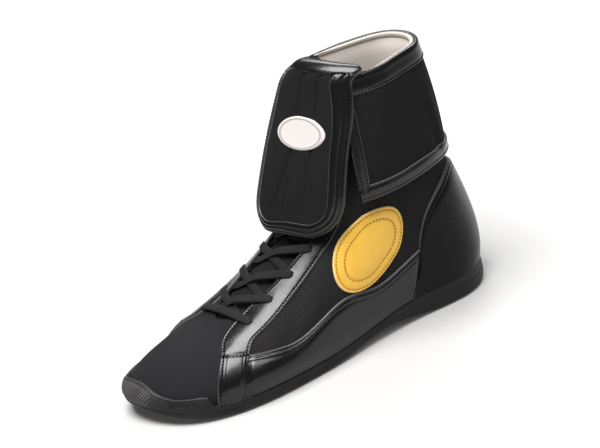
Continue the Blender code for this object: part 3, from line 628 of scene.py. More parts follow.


# moulded rubber: pebble noise, paler with wear and, towards the toe, with painted light; rib crests paler with wear
# and painted highlight; the tread mark sets a herringbone of sines underneath
def rubberFinish():
    f = Finish("soleRubber", {"Specular IOR Level": rubber["specular"]})
    place = f.place()
    x, y, _ = f.axes(place)
    tread = f.mark("tread")
    wearAndPaintedLight = f.mark("wearAndPaintedLight")
    pebble = f.noise(place, rubber["pebbleScale"])
    broad = f.noise(place, rubber["broadScale"], 4.0, 0.65)
    zig = f.maths("PINGPONG", y, rubber["treadFold"])
    slanted = (x + zig * rubber["treadSlant"]) * (2.0 * math.pi / rubber["treadPitch"])
    bars = f.soft(f.wave(slanted), -0.5, 0.3)
    # paler with wear, and towards the toe with painted light
    colour = f.mix(wearAndPaintedLight * f.soft(broad, 0.3, 0.75), rubber["colour"], rubber["wearAndPaintedLight"])
    # rib crests paler: wear and painted highlight
    colour = f.mix(f.mark("rib") * (0.6 + 0.4 * broad), colour, rubber["crest"])
    colour = f.mix(tread * (1.0 - bars) * 0.7, colour, tint(rubber["colour"], 0.3))
    return f.done(Base_Color=colour, Roughness=rubber["roughness"] + 0.2 * (broad - 0.5) + 0.1 * tread,
                  Normal=f.bump(0.12 * pebble + tread * bars * rubber["treadHeight"], rubber["depth"], 0.8))


patch = dict(colour=(0.84, 0.5, 0.055), deep=(0.74, 0.4, 0.033), cutEdge=(0.9, 0.72, 0.42), edgeWidth=(0.35, 0.8),
             roughness=0.42, specular=0.45, coat=0.15, coatRoughness=0.3, depth=0.00016, grainScale=1000.0,
             broadScale=80.0)


# golden leather: grain cells, darker with painted shade in the sewn grooves, pale where it was cut
def patchFinish():
    f = Finish("goldLeather", {"Specular IOR Level": patch["specular"], "Coat Roughness": patch["coatRoughness"]})
    place = f.place()
    edge = 1.0 - f.soft(f.mark("edge"), *patch["edgeWidth"])
    grain = f.soft(f.cells(place, patch["grainScale"]), 0.0, 0.22)
    broad = f.noise(place, patch["broadScale"], 4.0)
    hollowShade = f.mark("hollowShade")
    colour = f.mix(0.5 * (1.0 - grain) + 0.5 * f.soft(broad, 0.35, 0.8), patch["colour"], patch["deep"])
    # painted shade in the sewn grooves
    colour = f.mix(hollowShade * 0.8, colour, tint(patch["deep"], 0.6))
    colour = f.mix(edge * 0.7, colour, patch["cutEdge"])
    return f.done(Base_Color=colour, Roughness=patch["roughness"] + 0.15 * (broad - 0.5),
                  Coat_Weight=patch["coat"] + 0.1 * grain,
                  Normal=f.bump(grain + 0.8 * broad, patch["depth"], 0.5))


badge = dict(place=0.719, across=0.6, tall=0.0275, wide=20.0, thickness=0.6, stiff=0.35, lift=0.1, sink=0.9,
             narrow=8.5, round=0.7, ridge=(0.28, 1.0, 0.5), ring=(0.86, 0.028), spokes=120,
             shares=((0.01, 0.72, 14), (0.75, 0.93, 10), (0.945, 1.0, 10)), plane=(31.0, 235.0),
             colour=(0.58, 0.54, 0.52), line=(0.2, 0.19, 0.19), lint=(0.5, 0.47, 0.44), lintShare=0.12,
             roughness=0.5, specular=0.2, depth=0.0001, weaveTurns=9.0, lintScale=900.0)


# white woven badge: fine crossing threads, and a thin grey oval where the line mark is
def badgeFinish():
    f = Finish("whiteWeave", {"Specular IOR Level": badge["specular"]})
    u, v, _ = f.axes(f.surface())
    weave = f.wave(u * badge["weaveTurns"]) * f.wave(v * badge["weaveTurns"])
    lint = f.noise(f.place(), badge["lintScale"])
    colour = f.mix(f.mark("line"), badge["colour"], badge["line"])
    colour = f.mix(badge["lintShare"] * lint, colour, badge["lint"])
    return f.done(Base_Color=colour, Roughness=badge["roughness"] + 0.15 * (lint - 0.5),
                  Normal=f.bump(weave + lint, badge["depth"], 0.5))


lace = dict(width=5.6, thickness=1.3, sides=18, square=(0.55, 0.8), taper=(0.55, 0.45), taperLength=5.0,
            step=0.8, passes=14, colour=(0.0055, 0.0054, 0.0055), pale=(0.012, 0.0116, 0.0116), braid=1.7, fold=1.1,
            slant=0.8, roughness=0.7, specular=0.2, depth=0.0003, lintScale=1500.0)


# flat braid: slanting sines that meet along the middle of the lace
def laceFinish():
    f = Finish("laceBraid", {"Specular IOR Level": lace["specular"]})
    u, v, _ = f.axes(f.surface())
    fold = f.maths("PINGPONG", v, lace["fold"])
    strand = 0.5 + 0.5 * f.wave((u + fold * lace["slant"]) * (2.0 * math.pi / lace["braid"]))
    lint = f.noise(f.place(), lace["lintScale"])
    colour = f.mix(strand * (0.5 + 0.5 * lint), lace["colour"], lace["pale"])
    return f.done(Base_Color=colour, Roughness=lace["roughness"] + 0.15 * (lint - 0.5),
                  Normal=f.bump(strand + 0.4 * lint, lace["depth"], 0.7))


thread = dict(black=((0.002, 0.002, 0.002), (0.006, 0.006, 0.006)), gold=((0.3, 0.14, 0.012), (0.5, 0.27, 0.04)),
              roughness=0.75, specular=0.1, depth=0.00015, twistScale=2600.0)


# twisted thread: fine noise between a dark and a pale colour
def threadFinish(name, dark, pale):
    f = Finish(name, {"Specular IOR Level": thread["specular"]})
    twist = f.noise(f.place(), thread["twistScale"])
    return f.done(Base_Color=f.mix(twist, dark, pale), Roughness=thread["roughness"] + 0.2 * (twist - 0.5),
                  Normal=f.bump(twist, thread["depth"], 0.5))


# radius and height of the cup's profile, the radius in shares of the hole's own
hole = dict(radius=2.3, sides=28, profile=((1.12, -0.1), (1.05, 0.03), (0.95, 0.05), (0.86, -0.05), (0.8, -0.3),
                                           (0.02, -0.35), (0.02, -1.0), (1.1, -1.0)),
            dark=(0.003, 0.003, 0.003), pale=(0.008, 0.008, 0.008), roughness=0.85, specular=0.2, gritScale=1800.0)


# raw dark leather in the punched holes: fine noise alone
def holeFinish():
    f = Finish("punchedHole", {"Specular IOR Level": hole["specular"]})
    grit = f.noise(f.place(), hole["gritScale"])
    return f.done(Base_Color=f.mix(grit, hole["dark"], hole["pale"]),
                  Roughness=hole["roughness"] + 0.1 * (grit - 0.5))


clothMaterial = clothFinish()
leatherMaterial = leatherFinish("trimLeather", leather["shine"], leather["coat"])
heelMaterial = leatherFinish("heelLeather", leather["heelShine"], leather["heelCoat"])
knitMaterial = knitFinish()
liningMaterial = liningFinish()
rubberMaterial = rubberFinish()
patchMaterial = patchFinish()
badgeMaterial = badgeFinish()
laceMaterial = laceFinish()
threadMaterial = threadFinish("blackThread", *thread["black"])
goldThreadMaterial = threadFinish("goldThread", *thread["gold"])
holeMaterial = holeFinish()
print("finishes made")


# Stitches

stitch = dict(pitch=2.3, length=1.6, radius=0.46, flat=1.15, rise=0.16, sink=0.5,
              along=(-0.5, -0.42, -0.2, 0.2, 0.42, 0.5), girth=(0.35, 0.8, 1.0, 1.0, 0.8, 0.35))


# small capsules along sewn lines: rings of six points on a bowed axis, set at even steps of each line
def addStitches(name, lines, material):
    along, girth = np.array(stitch["along"]), np.array(stitch["girth"])[:, None]
    rings, sides = len(along), 6
    lift = stitch["rise"] - stitch["sink"] * (2.0 * np.abs(along)) ** 3
    angle = circle(sides)
    local = np.stack([np.broadcast_to((along * stitch["length"])[:, None], (rings, sides)),
                      girth * np.cos(angle) * stitch["radius"] * stitch["flat"],
                      girth * np.sin(angle) * stitch["radius"] + lift[:, None]], -1)
    groups = []
    for line in lines:
        even = evenly(line, stitch["pitch"])
        point, up = even[:, :3], even[:, 3:]
        ahead = unit(np.gradient(point, axis=0))
        over = unit(np.cross(up, ahead))
        up = np.cross(ahead, over)
        basis = np.stack([ahead, over, up], 1)
        groups.append(point[:, None, None] + np.einsum("abk,nkc->nabc", local, basis))
    points = np.concatenate(groups)
    body = gridQuads(rings, sides, True)
    caps = np.array([[0, 5, 4, 3], [0, 3, 2, 1], [30, 31, 32, 33], [30, 33, 34, 35]])   # two quads over each end
    starts = rings * sides * np.arange(len(points))[:, None, None]
    faces = (np.vstack([body, caps])[None] + starts).reshape(-1, 4)
    addPiece(name, points, faces, material)


# Upper and lining

upper = dict(columns=400, rows=57, thickness=1.2, vamp=(8.1, 0.1))


# wall of the shoe: offset of the Bezier wall by the relief, outer face and inner face
def makeUpper():
    columns, rows = upper["columns"], upper["rows"]
    turn, rise = np.meshgrid(np.arange(columns) * fullTurn / columns, np.linspace(0, 1, rows))
    relief = wallRelief(turn, rise)
    outer, inner = wallOffset(turn, rise, relief), wallOffset(turn, rise, relief - upper["thickness"])
    vamp = ease(fromHeel(turn), *upper["vamp"])
    addPiece("upperCloth", np.stack([outer, inner]), shellQuads(rows, columns, True), clothMaterial,
             ["upper"], marks={"vamp": np.stack([vamp, vamp])})


# thin shell inside the wall: follows its troughs alone, dips along the throat, and carries painted shade deeper in
# the shoe
def makeLining():
    columns, rows = lining["columns"], lining["rows"]
    turn, rise = np.meshgrid(np.arange(columns) * fullTurn / columns, np.linspace(0.0, lining["top"], rows))
    rise = rise * (1.0 - lining["throatDip"] * ease(fromHeel(turn), *lining["throat"]))
    relief = np.minimum(wallRelief(turn, rise), 0.0)
    shell = np.stack([wallOffset(turn, rise, relief - inset) for inset in lining["faces"]])
    # painted shade: the lining darker towards its bottom, where shade falls
    deep = fade(rise, *lining["paintedShadeBelow"])
    addPiece("lining", shell, shellQuads(rows, columns, True), liningMaterial,
             marks={"deep": np.stack([deep, deep])})


makeUpper()
makeLining()
print("upper and lining made")


# Sole

# groove rows are shares of rim and side with a depth; rows of wear and painted light towards the toe are an amount,
# where it starts and its length
outsole = dict(
    lipHeight=1.4, lipWall=2.2, gap=0.3, edge=2.5, flare=0.4, flareTo=(70.0, 50.0), bevelIn=3.0, bevelUp=1.8,
    inward=0.1, brow=0.6, insideShares=(0.6, 0.3), corners=(0.5, 0.2), underCuts=33, overCuts=9, sharp=38.0,
    turns=((0.0, 8.28, 170), (8.28, 9.3, 40), (9.3, 10.0, 86)),
    groove=((0.42, 0.58, 0.0), (0.36, 0.64, 0.45), (0.3, 0.7, 0.0)),
    ribsFrom=(9.42, 0.12), ribPitch=2.1, toeArc=40.0, ribHeight=0.65, ribSlant=2.8, ribFoot=(0.0, 0.06),
    ribTop=(0.84, 0.08), lines=(0.5, 0.74), linesFrom=(8.42, 0.15), lineWidth=0.035, lineDepth=0.3,
    guardCrest=9.85, crestRound=0.11, guardShares=tuple(np.linspace(0.04, 0.9, 19)),
    guard=((0.0, 0.3), (0.25, 0.255), (0.42, 0.205), (0.6, 0.17), (0.82, 0.145), (1.05, 0.155), (1.24, 0.165),
           (1.39, 0.15), (1.57, 0.0)),
    wornUnder=0.25, wornSide=0.2, wearAndPaintedLight=((0.2, 8.2, 0.4), (0.6, 9.2, 0.4)), treadInset=(0.0, 0.08))


# top of the lip, which climbs round the toe as the guard table says
def guardRise(turn):
    table = np.array(outsole["guard"])
    rise = np.interp(np.hypot(turn - outsole["guardCrest"], outsole["crestRound"]), table[:, 0], table[:, 1])
    return np.maximum(rise, lipRise(turn, outsole["lipHeight"]))


# walls of the lip and the guard, with slanting ribs at the toe and two lines beside them, and the ribs' shares
def guardWalls(turn, top):
    place = fromHeel(turn)
    front = ease(place, *outsole["ribsFrom"])
    lined = ease(place, *outsole["linesFrom"])
    around = (turn - halfTurn) * outsole["toeArc"] / outsole["ribPitch"]
    walls, ribRows = [], []
    for share in outsole["guardShares"]:
        rib = 0.5 + 0.5 * np.cos(2.0 * math.pi * (around + outsole["ribSlant"] * share))
        ribs = rib * front * ease(share, *outsole["ribFoot"]) * fade(share, *outsole["ribTop"])
        lines = sum(bell(share - at, outsole["lineWidth"]) for at in outsole["lines"]) * lined * (1.0 - front)
        ribRows.append(ribs)
        walls.append(wallOffset(turn, share * top, outsole["lipWall"] + outsole["gap"] * (1.0 - share)
                                + outsole["ribHeight"] * ribs - outsole["lineDepth"] * lines))
    return walls, ribRows


# profile carried round the shoe: bevel, side wall, lip or guard, then down its inside to the plate
def makeOutsole():
    turn = bothSides(np.concatenate([[0.0], *(np.linspace(*span)[1:] for span in outsole["turns"])]))
    top, zero, inward = guardRise(turn), 0.0 * turn, outsole["inward"]
    foot = wallPoint(turn, zero)
    out = unit(wallNormal(turn, zero) * np.array([1.0, 1.0, 0.0]))
    flare = outsole["flare"] * fade(foot[:, 0], *outsole["flareTo"])
    rim = foot + out * (outsole["edge"] + flare)[:, None]
    low = rim - out * outsole["bevelIn"]
    low[:, 2] = bottomHeight(low[:, 0])
    rim[:, 2] = bottomHeight(rim[:, 0]) + outsole["bevelUp"]
    side = wallOffset(turn, zero, outsole["edge"])
    groove = [rim * lower + side * higher - out * depth for lower, higher, depth in outsole["groove"]]
    below = [low, rim, *groove, side]
    walls, ribRows = guardWalls(turn, top)
    brow = wallOffset(turn, top, outsole["brow"] * outsole["lipWall"])
    edge = wallOffset(turn, top, inward)
    inside = [wallOffset(turn, share * top, inward) for share in outsole["insideShares"]]
    plate = wallOffset(turn, zero, inward)
    plate[:, 2] = featherHeight(plate[:, 0]) - outsole["gap"]
    rings = np.stack([*below, *walls, brow, edge, *inside, plate])
    # rib shares at each ring, marking the crests that are painted paler as wear and highlight
    crest = np.zeros(rings.shape[:2])
    crest[len(below):len(below) + len(ribRows)] = ribRows
    for reach in outsole["corners"]:
        rings = blunt(rings, reach)
        crest = np.concatenate([crest[:1], np.repeat(crest[1:-1], 2, axis=0), crest[-1:]])
    under, over = ringFill(rings[0], outsole["underCuts"]), ringFill(rings[-1], outsole["overCuts"])
    under[..., 2] = bottomHeight(under[..., 0])
    points, faces = filledBody(rings, under, over)
    tread, wearAndPaintedLight, rib = np.zeros(len(points)), np.full(len(points), outsole["wornUnder"]), np.zeros(len(points))
    across = np.linspace(0, 1, outsole["underCuts"])
    edgeIn = np.minimum(across, across[::-1])[:, None] * np.ones(under.shape[1])
    tread[crest.size:crest.size + edgeIn.size] = ease(edgeIn, *outsole["treadInset"]).ravel()
    # wear all round the side, and painted light that pales the toe
    ringWearAndPaintedLight = outsole["wornSide"]
    for amount, start, length in outsole["wearAndPaintedLight"]:
        ringWearAndPaintedLight = ringWearAndPaintedLight + amount * ease(fromHeel(turn), start, length)
    wearAndPaintedLight[:crest.size] = np.tile(ringWearAndPaintedLight, len(rings))
    rib[:crest.size] = crest.ravel()
    addPiece("outsole", points, faces, rubberMaterial, ["outsole"],
             marks={"tread": tread, "wearAndPaintedLight": wearAndPaintedLight, "rib": rib}, sharp=outsole["sharp"], merge=True)


insole = dict(wall=2.0, play=1.6, thickness=3.0, slope=1.2, corner=0.8, dish=0.5, turns=121, underCuts=5, overCuts=25)


# footbed: rounded rim, top dished a little towards the middle
def makeInsole():
    turn = bothSides(np.linspace(0, halfTurn, insole["turns"]))
    inset = -insole["wall"] - insole["play"]
    low = wallOffset(turn, 0.0 * turn, inset)
    low[:, 2] = featherHeight(low[:, 0])
    inner = wallOffset(turn, 0.0 * turn, inset - insole["slope"])
    inner[:, 2] = featherHeight(low[:, 0]) + insole["thickness"]
    high = low + np.array([0, 0, insole["thickness"]])
    rings = blunt(np.stack([low, high, inner]), insole["corner"])
    under, over = ringFill(rings[0], insole["underCuts"]), ringFill(rings[-1], insole["overCuts"])
    share = np.linspace(-1.0, 1.0, insole["overCuts"])[:, None]
    over[..., 2] -= insole["dish"] * (1.0 - share ** 2)
    points, faces = filledBody(rings, under, over)
    addPiece("insole", points, faces, liningMaterial, ["insole"], merge=True)


makeOutsole()
makeInsole()
print("sole and insole made")


# Leather overlays

overlay = dict(thickness=1.3, lift=0.15, round=0.75, groove=0.34, grooveWidth=0.5, sink=-0.35, footDrop=0.6,
               swell=17.0, swellRest=14.0, swellEnds=5.0, puffBlend=(0.15, 0.35), sewnClear=1.0, sewnNarrow=2.2,
               steps=(0.0, 0.06, 0.16, 0.3, 0.5, 0.75, 1.05, 1.4, 1.75, 2.1, 2.5, 3.0, 3.5, 4.0, 4.5, 5.1))

# rungs of turn, rise at one edge and turn, rise at the other; sewn lines as edge and distances from it
overlays = dict(
    eyestay=dict(puff=(0.5, 0.5), puffEdges=(0, 1, 2, 3), extra=0.0, along=150, middle=8,
                 sewn=((0, (1.9,)), (1, (1.9,))), rungs=(
        (7.84, 0.43, 8.63, 0.54), (7.91, 0.555, 8.87, 0.695), (7.72, 0.6, 8.9, 0.8), (7.44, 0.64, 8.72, 0.91),
        (7.15, 0.69, 8.24, 0.985), (6.85, 0.735, 7.6, 0.99), (6.28, 0.8, 6.7, 0.99), (5.78, 0.815, 5.95, 0.99),
        (5.2, 0.83, 5.25, 0.99))),
    strap=dict(puff=(1.6, 1.6), puffEdges=(3, 2, 0, 1), extra=0.75, along=60, middle=8,
               sewn=((0, (1.7, 3.9)), (1, (1.7, 3.9)), (3, (1.7,))), rungs=(
        (7.58, 0.0, 8.23, 0.0), (7.64, 0.15, 8.3, 0.19), (7.73, 0.3, 8.45, 0.37), (7.86, 0.45, 8.65, 0.56))),
    foxing=dict(puff=(3.5, 1.3), puffEdges=(1, 0, 2, 3), extra=0.0, along=170, middle=8,
                sewn=((1, (1.8, 4.3)),), rungs=(
        (7.62, 0.0, 7.9, 0.44), (6.95, 0.0, 7.1, 0.35), (6.4, 0.0, 6.49, 0.305), (5.85, 0.0, 5.9, 0.33),
        (5.3, 0.0, 5.34, 0.335), (4.8, 0.0, 4.75, 0.28), (4.3, 0.0, 4.2, 0.225), (3.8, 0.0, 3.6, 0.23),
        (3.3, 0.0, 2.9, 0.27))),
    counter=dict(puff=(0.6, 0.6), puffEdges=(1, 0, 2, 3), extra=0.75, along=230, middle=12,
                 sewn=((1, (1.8, 4.2)),), rungs=(
        (0.0, 0.0, 0.0, 0.5), (1.0, 0.0, 0.95, 0.53), (2.0, 0.0, 1.8, 0.505), (2.8, 0.0, 2.55, 0.41),
        (3.15, 0.0, 2.93, 0.27), (3.36, 0.0, 3.07, 0.15))))

backSeam = dict(half=0.09, rise=(0.55, 0.8), steps=40)


# turns and rises of a ladder at shares along and across
def ladderPlace(rungs, along, across):
    line = openSpline(rungs, along)
    turn = line[..., 0] * (1 - across) + line[..., 2] * across
    return turn, line[..., 1] * (1 - across) + line[..., 3] * across


# points of both long edges of a ladder at shares along it
def ladderEdges(rungs, along):
    return [wallPoint(*ladderPlace(rungs, along, 0.0 * along + side)) for side in (0.0, 1.0)]


# even shares that crowd towards both ends as the edge steps do, for a length in millimetres
def crowded(length, middle):
    steps = np.array(overlay["steps"])[:, None]
    near = steps * np.minimum(1.0, 0.48 * length / steps[-1]) / length   # each end keeps to its own half
    share = np.linspace(0.0, 1.0, middle + 2)[1:-1, None]
    return np.concatenate([near, near[-1] * (1 - share) + (1 - near[-1]) * share, (1 - near)[::-1]])


# swell of the leather: a parabola from its top edge, eased to nothing at the other edges
def overlayPuff(kind, distances, along):
    top, other, start, end = (distances[edge] for edge in kind["puffEdges"])
    swell = 1.0 - (1.0 - np.clip(top / overlay["swell"], 0, 1)) ** 2
    ends = overlay["swellEnds"]
    rest = smoothStep(other / overlay["swellRest"]) * smoothStep(start / ends) * smoothStep(end / ends)
    front, rear = kind["puff"]
    return (front + (rear - front) * ease(along, *overlay["puffBlend"])) * swell * rest


# sheet of leather: quarter-round edge, grooves at the sewn lines, slight puff in the middle, on the relief
def overlaySheet(name, kind, side, rungs, material):
    coarse = np.linspace(0.0, 1.0, 80)
    low, high = ladderEdges(rungs, coarse)
    middle = 0.5 * (low + high)
    total = np.linalg.norm(np.diff(middle, axis=0), axis=1).sum()
    along = crowded(np.array([total]), kind["along"])[:, 0]
    width = np.interp(along, coarse, np.linalg.norm(high - low, axis=1))
    across = crowded(width, kind["middle"])
    alongGrid = np.broadcast_to(along, across.shape)
    turn, rise = ladderPlace(rungs, alongGrid, across)
    rise = np.maximum(rise, lipRise(turn, outsole["lipHeight"] - overlay["footDrop"]))
    distances = (across * width, (1 - across) * width, alongGrid * total, (1 - alongGrid) * total)
    nearest = np.minimum.reduce(distances)
    lift = overlay["lift"] + kind["extra"]
    height = lift + overlay["thickness"] * quarterRound(nearest / overlay["round"])
    lines = []
    for edge, insets in kind["sewn"]:
        for inset in insets:
            height = height - overlay["groove"] * bell(distances[edge] - inset, overlay["grooveWidth"])
            lines.append(sewnLine(rungs, edge, inset, side, lift + overlay["thickness"] - overlay["groove"], total))
    height = height + overlayPuff(kind, distances, alongGrid) + wallRelief(turn, rise)
    turn = sideTurn(turn, side)
    outer = wallOffset(turn, rise, height)
    inner = wallOffset(turn, rise, overlay["sink"] + wallRelief(turn, rise))
    addPiece(name, np.stack([outer, inner]), shellQuads(*across.shape), material, [name],
             marks={"edge": np.stack([nearest, np.zeros(nearest.shape)])})
    return lines


# line at a set distance inside one edge of a ladder, with the way up from the leather
def sewnLine(rungs, edge, inset, side, height, total):
    if edge < 2:
        along = np.linspace(0.0, 1.0, 160)
        low, high = ladderEdges(rungs, along)
        width = np.linalg.norm(high - low, axis=1)
        clear = overlay["sewnClear"]
        keep = (along * total > clear) & ((1 - along) * total > clear) & (width > overlay["sewnNarrow"] * inset)
        along, share = along[keep], inset / width[keep]
        share = share if edge == 0 else 1.0 - share
    else:
        share = np.linspace(0.06, 0.94, 60)
        along = np.full(60, inset / total if edge == 2 else 1.0 - inset / total)
    turn, rise = ladderPlace(rungs, along, share)
    rise = np.maximum(rise, lipRise(turn, outsole["lipHeight"]))
    return wallLine(sideTurn(turn, side), rise, height + wallRelief(turn, rise))


# overlays of both sides, the counter with its other half mirrored, and a seam up the back
def makeOverlays():
    lines = []
    for side, name in ((1, "lateral"), (-1, "medial")):
        for key in ("eyestay", "foxing", "strap"):
            kind = overlays[key]
            lines += overlaySheet(f"{key}_{name}", kind, side, np.array(kind["rungs"]), leatherMaterial)
    half = np.array(overlays["counter"]["rungs"])
    twin = half[:0:-1] * np.array([-1.0, 1.0, -1.0, 1.0])
    lines += overlaySheet("counter", overlays["counter"], 1, np.vstack([twin, half]), heelMaterial)
    rise = np.linspace(*backSeam["rise"], backSeam["steps"])
    lines += [wallLine(turn, rise, 0.0) for turn in (-backSeam["half"], backSeam["half"])]
    addStitches("overlayStitches", lines, threadMaterial)


makeOverlays()
print("overlays made")


# Ankle patches

# grooves are a depth and a width; the hollow entry is how much painted shade the border groove and the inner channel
# get; puffs are an amount, where it starts inside the rim and its length
anklePatch = dict(x=102.0, z=66.5, long=32.0, short=20.5, lean=-33.0, lift=0.2, thickness=1.3, sink=0.3, round=0.8,
                  border=2.0, borderGroove=(0.28, 0.45), inner=7.0, innerGroove=(0.35, 0.55), hollowShade=(0.6, 0.5),
                  puffs=((0.3, 3.0, 1.5), (0.5, 8.0, 5.0)), endWiden=0.25, rings=46, spokes=140, crowd=1.4,
                  rimShares=(0.952, 0.965, 0.977, 0.988, 0.996, 1.0), nearTurn=4.5, nearRise=0.45)


# turn and rise of the wall at a length and a height, by Newton steps from the ankle
def wallPlace(x, z, side):
    turn = np.full(np.shape(x), float(sideTurn(anklePatch["nearTurn"], side)))
    rise = np.full(np.shape(x), anklePatch["nearRise"])
    step = 0.002
    for _ in range(12):
        point = wallPoint(turn, rise)
        byTurn = (wallPoint(turn + step, rise) - point) / step
        byRise = (wallPoint(turn, rise + step) - point) / step
        missX, missZ = x - point[..., 0], z - point[..., 2]
        scale = byTurn[..., 0] * byRise[..., 2] - byRise[..., 0] * byTurn[..., 2]
        turn = turn + (missX * byRise[..., 2] - missZ * byRise[..., 0]) / scale
        rise = rise + (missZ * byTurn[..., 0] - missX * byTurn[..., 2]) / scale
    return turn, rise


# length and height of a point of the patch, leant about its middle
def patchPlace(along, over, side):
    lean = math.radians(anklePatch["lean"])
    x = anklePatch["x"] + along * math.cos(lean) - over * math.sin(lean)
    z = anklePatch["z"] + along * math.sin(lean) + over * math.cos(lean)
    return wallPlace(x, z, side)


# height of the patch at a point of its oval: rounded rim, groove of the border, channel of the inner oval, with the
# painted shade of that groove and channel
def patchHeight(along, over):
    share = np.hypot(along / anklePatch["long"], over / anklePatch["short"])
    widen = 1.0 + anklePatch["endWiden"] * np.abs(along) / anklePatch["long"]
    inset = (1.0 - share) * anklePatch["short"] * widen
    rim = quarterRound(inset / anklePatch["round"])
    (grooveDepth, grooveWidth), (channelDepth, channelWidth) = anklePatch["borderGroove"], anklePatch["innerGroove"]
    groove = bell(inset - anklePatch["border"], grooveWidth)
    channel = bell(inset - anklePatch["inner"], channelWidth)
    puff = sum(amount * ease(inset, start, length) for amount, start, length in anklePatch["puffs"])
    height = anklePatch["lift"] + anklePatch["thickness"] * rim + puff - grooveDepth * groove - channelDepth * channel
    grooveShade, channelShade = anklePatch["hollowShade"]
    return height, inset, np.clip(grooveShade * groove + channelShade * channel, 0, 1)


# oval on the wall: rings of the ellipse from the middle to the rim, closed underneath
def makePatch(side, name):
    rings, spokes = anklePatch["rings"], anklePatch["spokes"]
    long, short = anklePatch["long"], anklePatch["short"]
    share = 1.0 - (1.0 - np.linspace(0.004, 1.0, rings)) ** anklePatch["crowd"]
    share[-len(anklePatch["rimShares"]):] = anklePatch["rimShares"]
    angle = circle(spokes)
    along, over = long * share[:, None] * np.cos(angle), short * share[:, None] * np.sin(angle)
    height, inset, hollowShade = patchHeight(along, over)
    turn, rise = patchPlace(along, over, side)
    relief = wallRelief(turn, rise)
    outer, inner = wallOffset(turn, rise, height + relief), wallOffset(turn, rise, relief - anklePatch["sink"])
    addPiece(name, np.stack([outer, inner]), discFaces(rings, spokes), patchMaterial, [name],
             marks={"edge": np.stack([inset, inset]), "hollowShade": np.stack([hollowShade, hollowShade])})
    around = np.linspace(0, 2 * math.pi, 200)
    lines = []
    for inset in (anklePatch["border"], anklePatch["inner"]):
        reach = 1.0 - inset / (short * (1.0 + anklePatch["endWiden"] * np.abs(np.cos(around))))
        along, over = long * reach * np.cos(around), short * reach * np.sin(around)
        turn, rise = patchPlace(along, over, side)
        lines.append(wallLine(turn, rise, patchHeight(along, over)[0] + wallRelief(turn, rise)))
    addStitches(f"{name}_stitches", lines, goldThreadMaterial)


for patchSide, patchName in ((1, "ankle_patch_lateral"), (-1, "ankle_patch_medial")):
    makePatch(patchSide, patchName)
print("ankle patches made")


# Tongue, flap and its trim

# x, y, z of the middle, half width, turn in degrees, how far the edges lie back and down
tongueRows = np.array([
    (214.0, 0.0, 35.5, 15.0, 0.0, 0.0, 3.0), (196.0, 0.0, 43.3, 22.0, 0.0, 1.0, 7.5),
    (176.0, 0.0, 54.2, 24.5, 0.0, 3.0, 8.5), (150.0, 0.0, 69.5, 24.0, 0.0, 5.5, 9.5),
    (123.0, 0.0, 92.0, 23.5, 0.0, 8.5, 8.0), (105.0, 0.0, 122.0, 24.0, 0.0, 13.0, 4.0),
    (96.0, 0.0, 153.0, 22.5, 0.0, 14.5, 1.0), (91.5, 0.0, 173.0, 22.0, 2.0, 12.5, 0.0),
    (91.5, 0.5, 182.8, 24.0, 7.0, 9.0, 0.5), (97.5, 2.0, 187.5, 29.5, 16.0, 7.5, 4.0),
    (104.5, 2.5, 182.5, 30.5, 17.0, 7.0, 2.5), (107.5, 3.5, 173.0, 31.0, 18.0, 7.0, 1.0),
    (115.0, 5.0, 152.0, 32.0, 20.0, 7.5, 0.0), (124.5, 6.0, 131.0, 33.0, 21.0, 8.0, 0.0),
    (132.5, 7.0, 112.0, 33.5, 22.0, 8.0, 0.0), (138.0, 7.5, 99.0, 32.5, 23.0, 8.0, 0.0),
    (142.0, 8.0, 91.0, 27.5, 23.0, 7.0, 0.0), (144.5, 8.0, 85.5, 18.0, 23.0, 4.0, 0.0)])

# pleats of the flap: place, across to place, across, then width and depth in millimetres
tongue = dict(
    thickness=4.0, thinnest=0.15, sideRound=0.06, endRound=0.008, flapFrom=0.53, steps=320, across=121,
    plane=(235.0, 32.0), knitPlane=(440.0, 30.0), bow=(2.0, 2.6), bowFrom=(0.56, 0.08),
    leanIn=(-3.5, 0.62, 0.06), leanOut=(4.2, 0.72, 0.14), leanSide=(0.0, 0.9), leanFrom=(0.5, 0.05),
    wrap=(4.5, 3.0), wrapSide=(0.6, 0.4), wrapFrom=(0.5, 0.04), wrapTo=(0.85, 0.25),
    droop=(4.5, 4.5), droopSide=(0.3, 0.7), droopFrom=(0.46, 0.05), droopTo=(0.73, 0.14),
    pleats=((0.57, 0.0, 0.69, -0.19, 1.1, -1.1), (0.57, 0.0, 0.69, -0.19, 4.0, -0.5),
            (0.57, 0.46, 0.69, 0.345, 1.1, -1.1), (0.57, 0.46, 0.69, 0.345, 4.0, -0.5),
            (0.74, -0.15, 0.875, -0.5, 1.1, -1.2), (0.74, -0.15, 0.875, -0.5, 4.5, -0.6),
            (0.735, 0.33, 0.885, 0.24, 1.1, -1.1), (0.735, 0.33, 0.885, 0.24, 4.5, -0.5),
            (0.8, -0.15, 0.905, -0.19, 1.2, -1.0), (0.6, -0.6, 0.72, -0.75, 3.4, -0.5),
            (0.76, 0.62, 0.86, 0.66, 3.2, -0.4), (0.6, 0.22, 0.68, 0.1, 4.0, 0.5), (0.77, 0.08, 0.88, 0.0, 4.0, 0.6)))


# how far the flap's outer side hangs inward near its top and outward lower down
def flapLean(place, across):
    (inward, high, span), (outward, start, length) = tongue["leanIn"], tongue["leanOut"]
    lean = inward * bell(place - high, span) + outward * ease(place, start, length)
    return lean * ease(across, *tongue["leanSide"]) * ease(place, *tongue["leanFrom"])


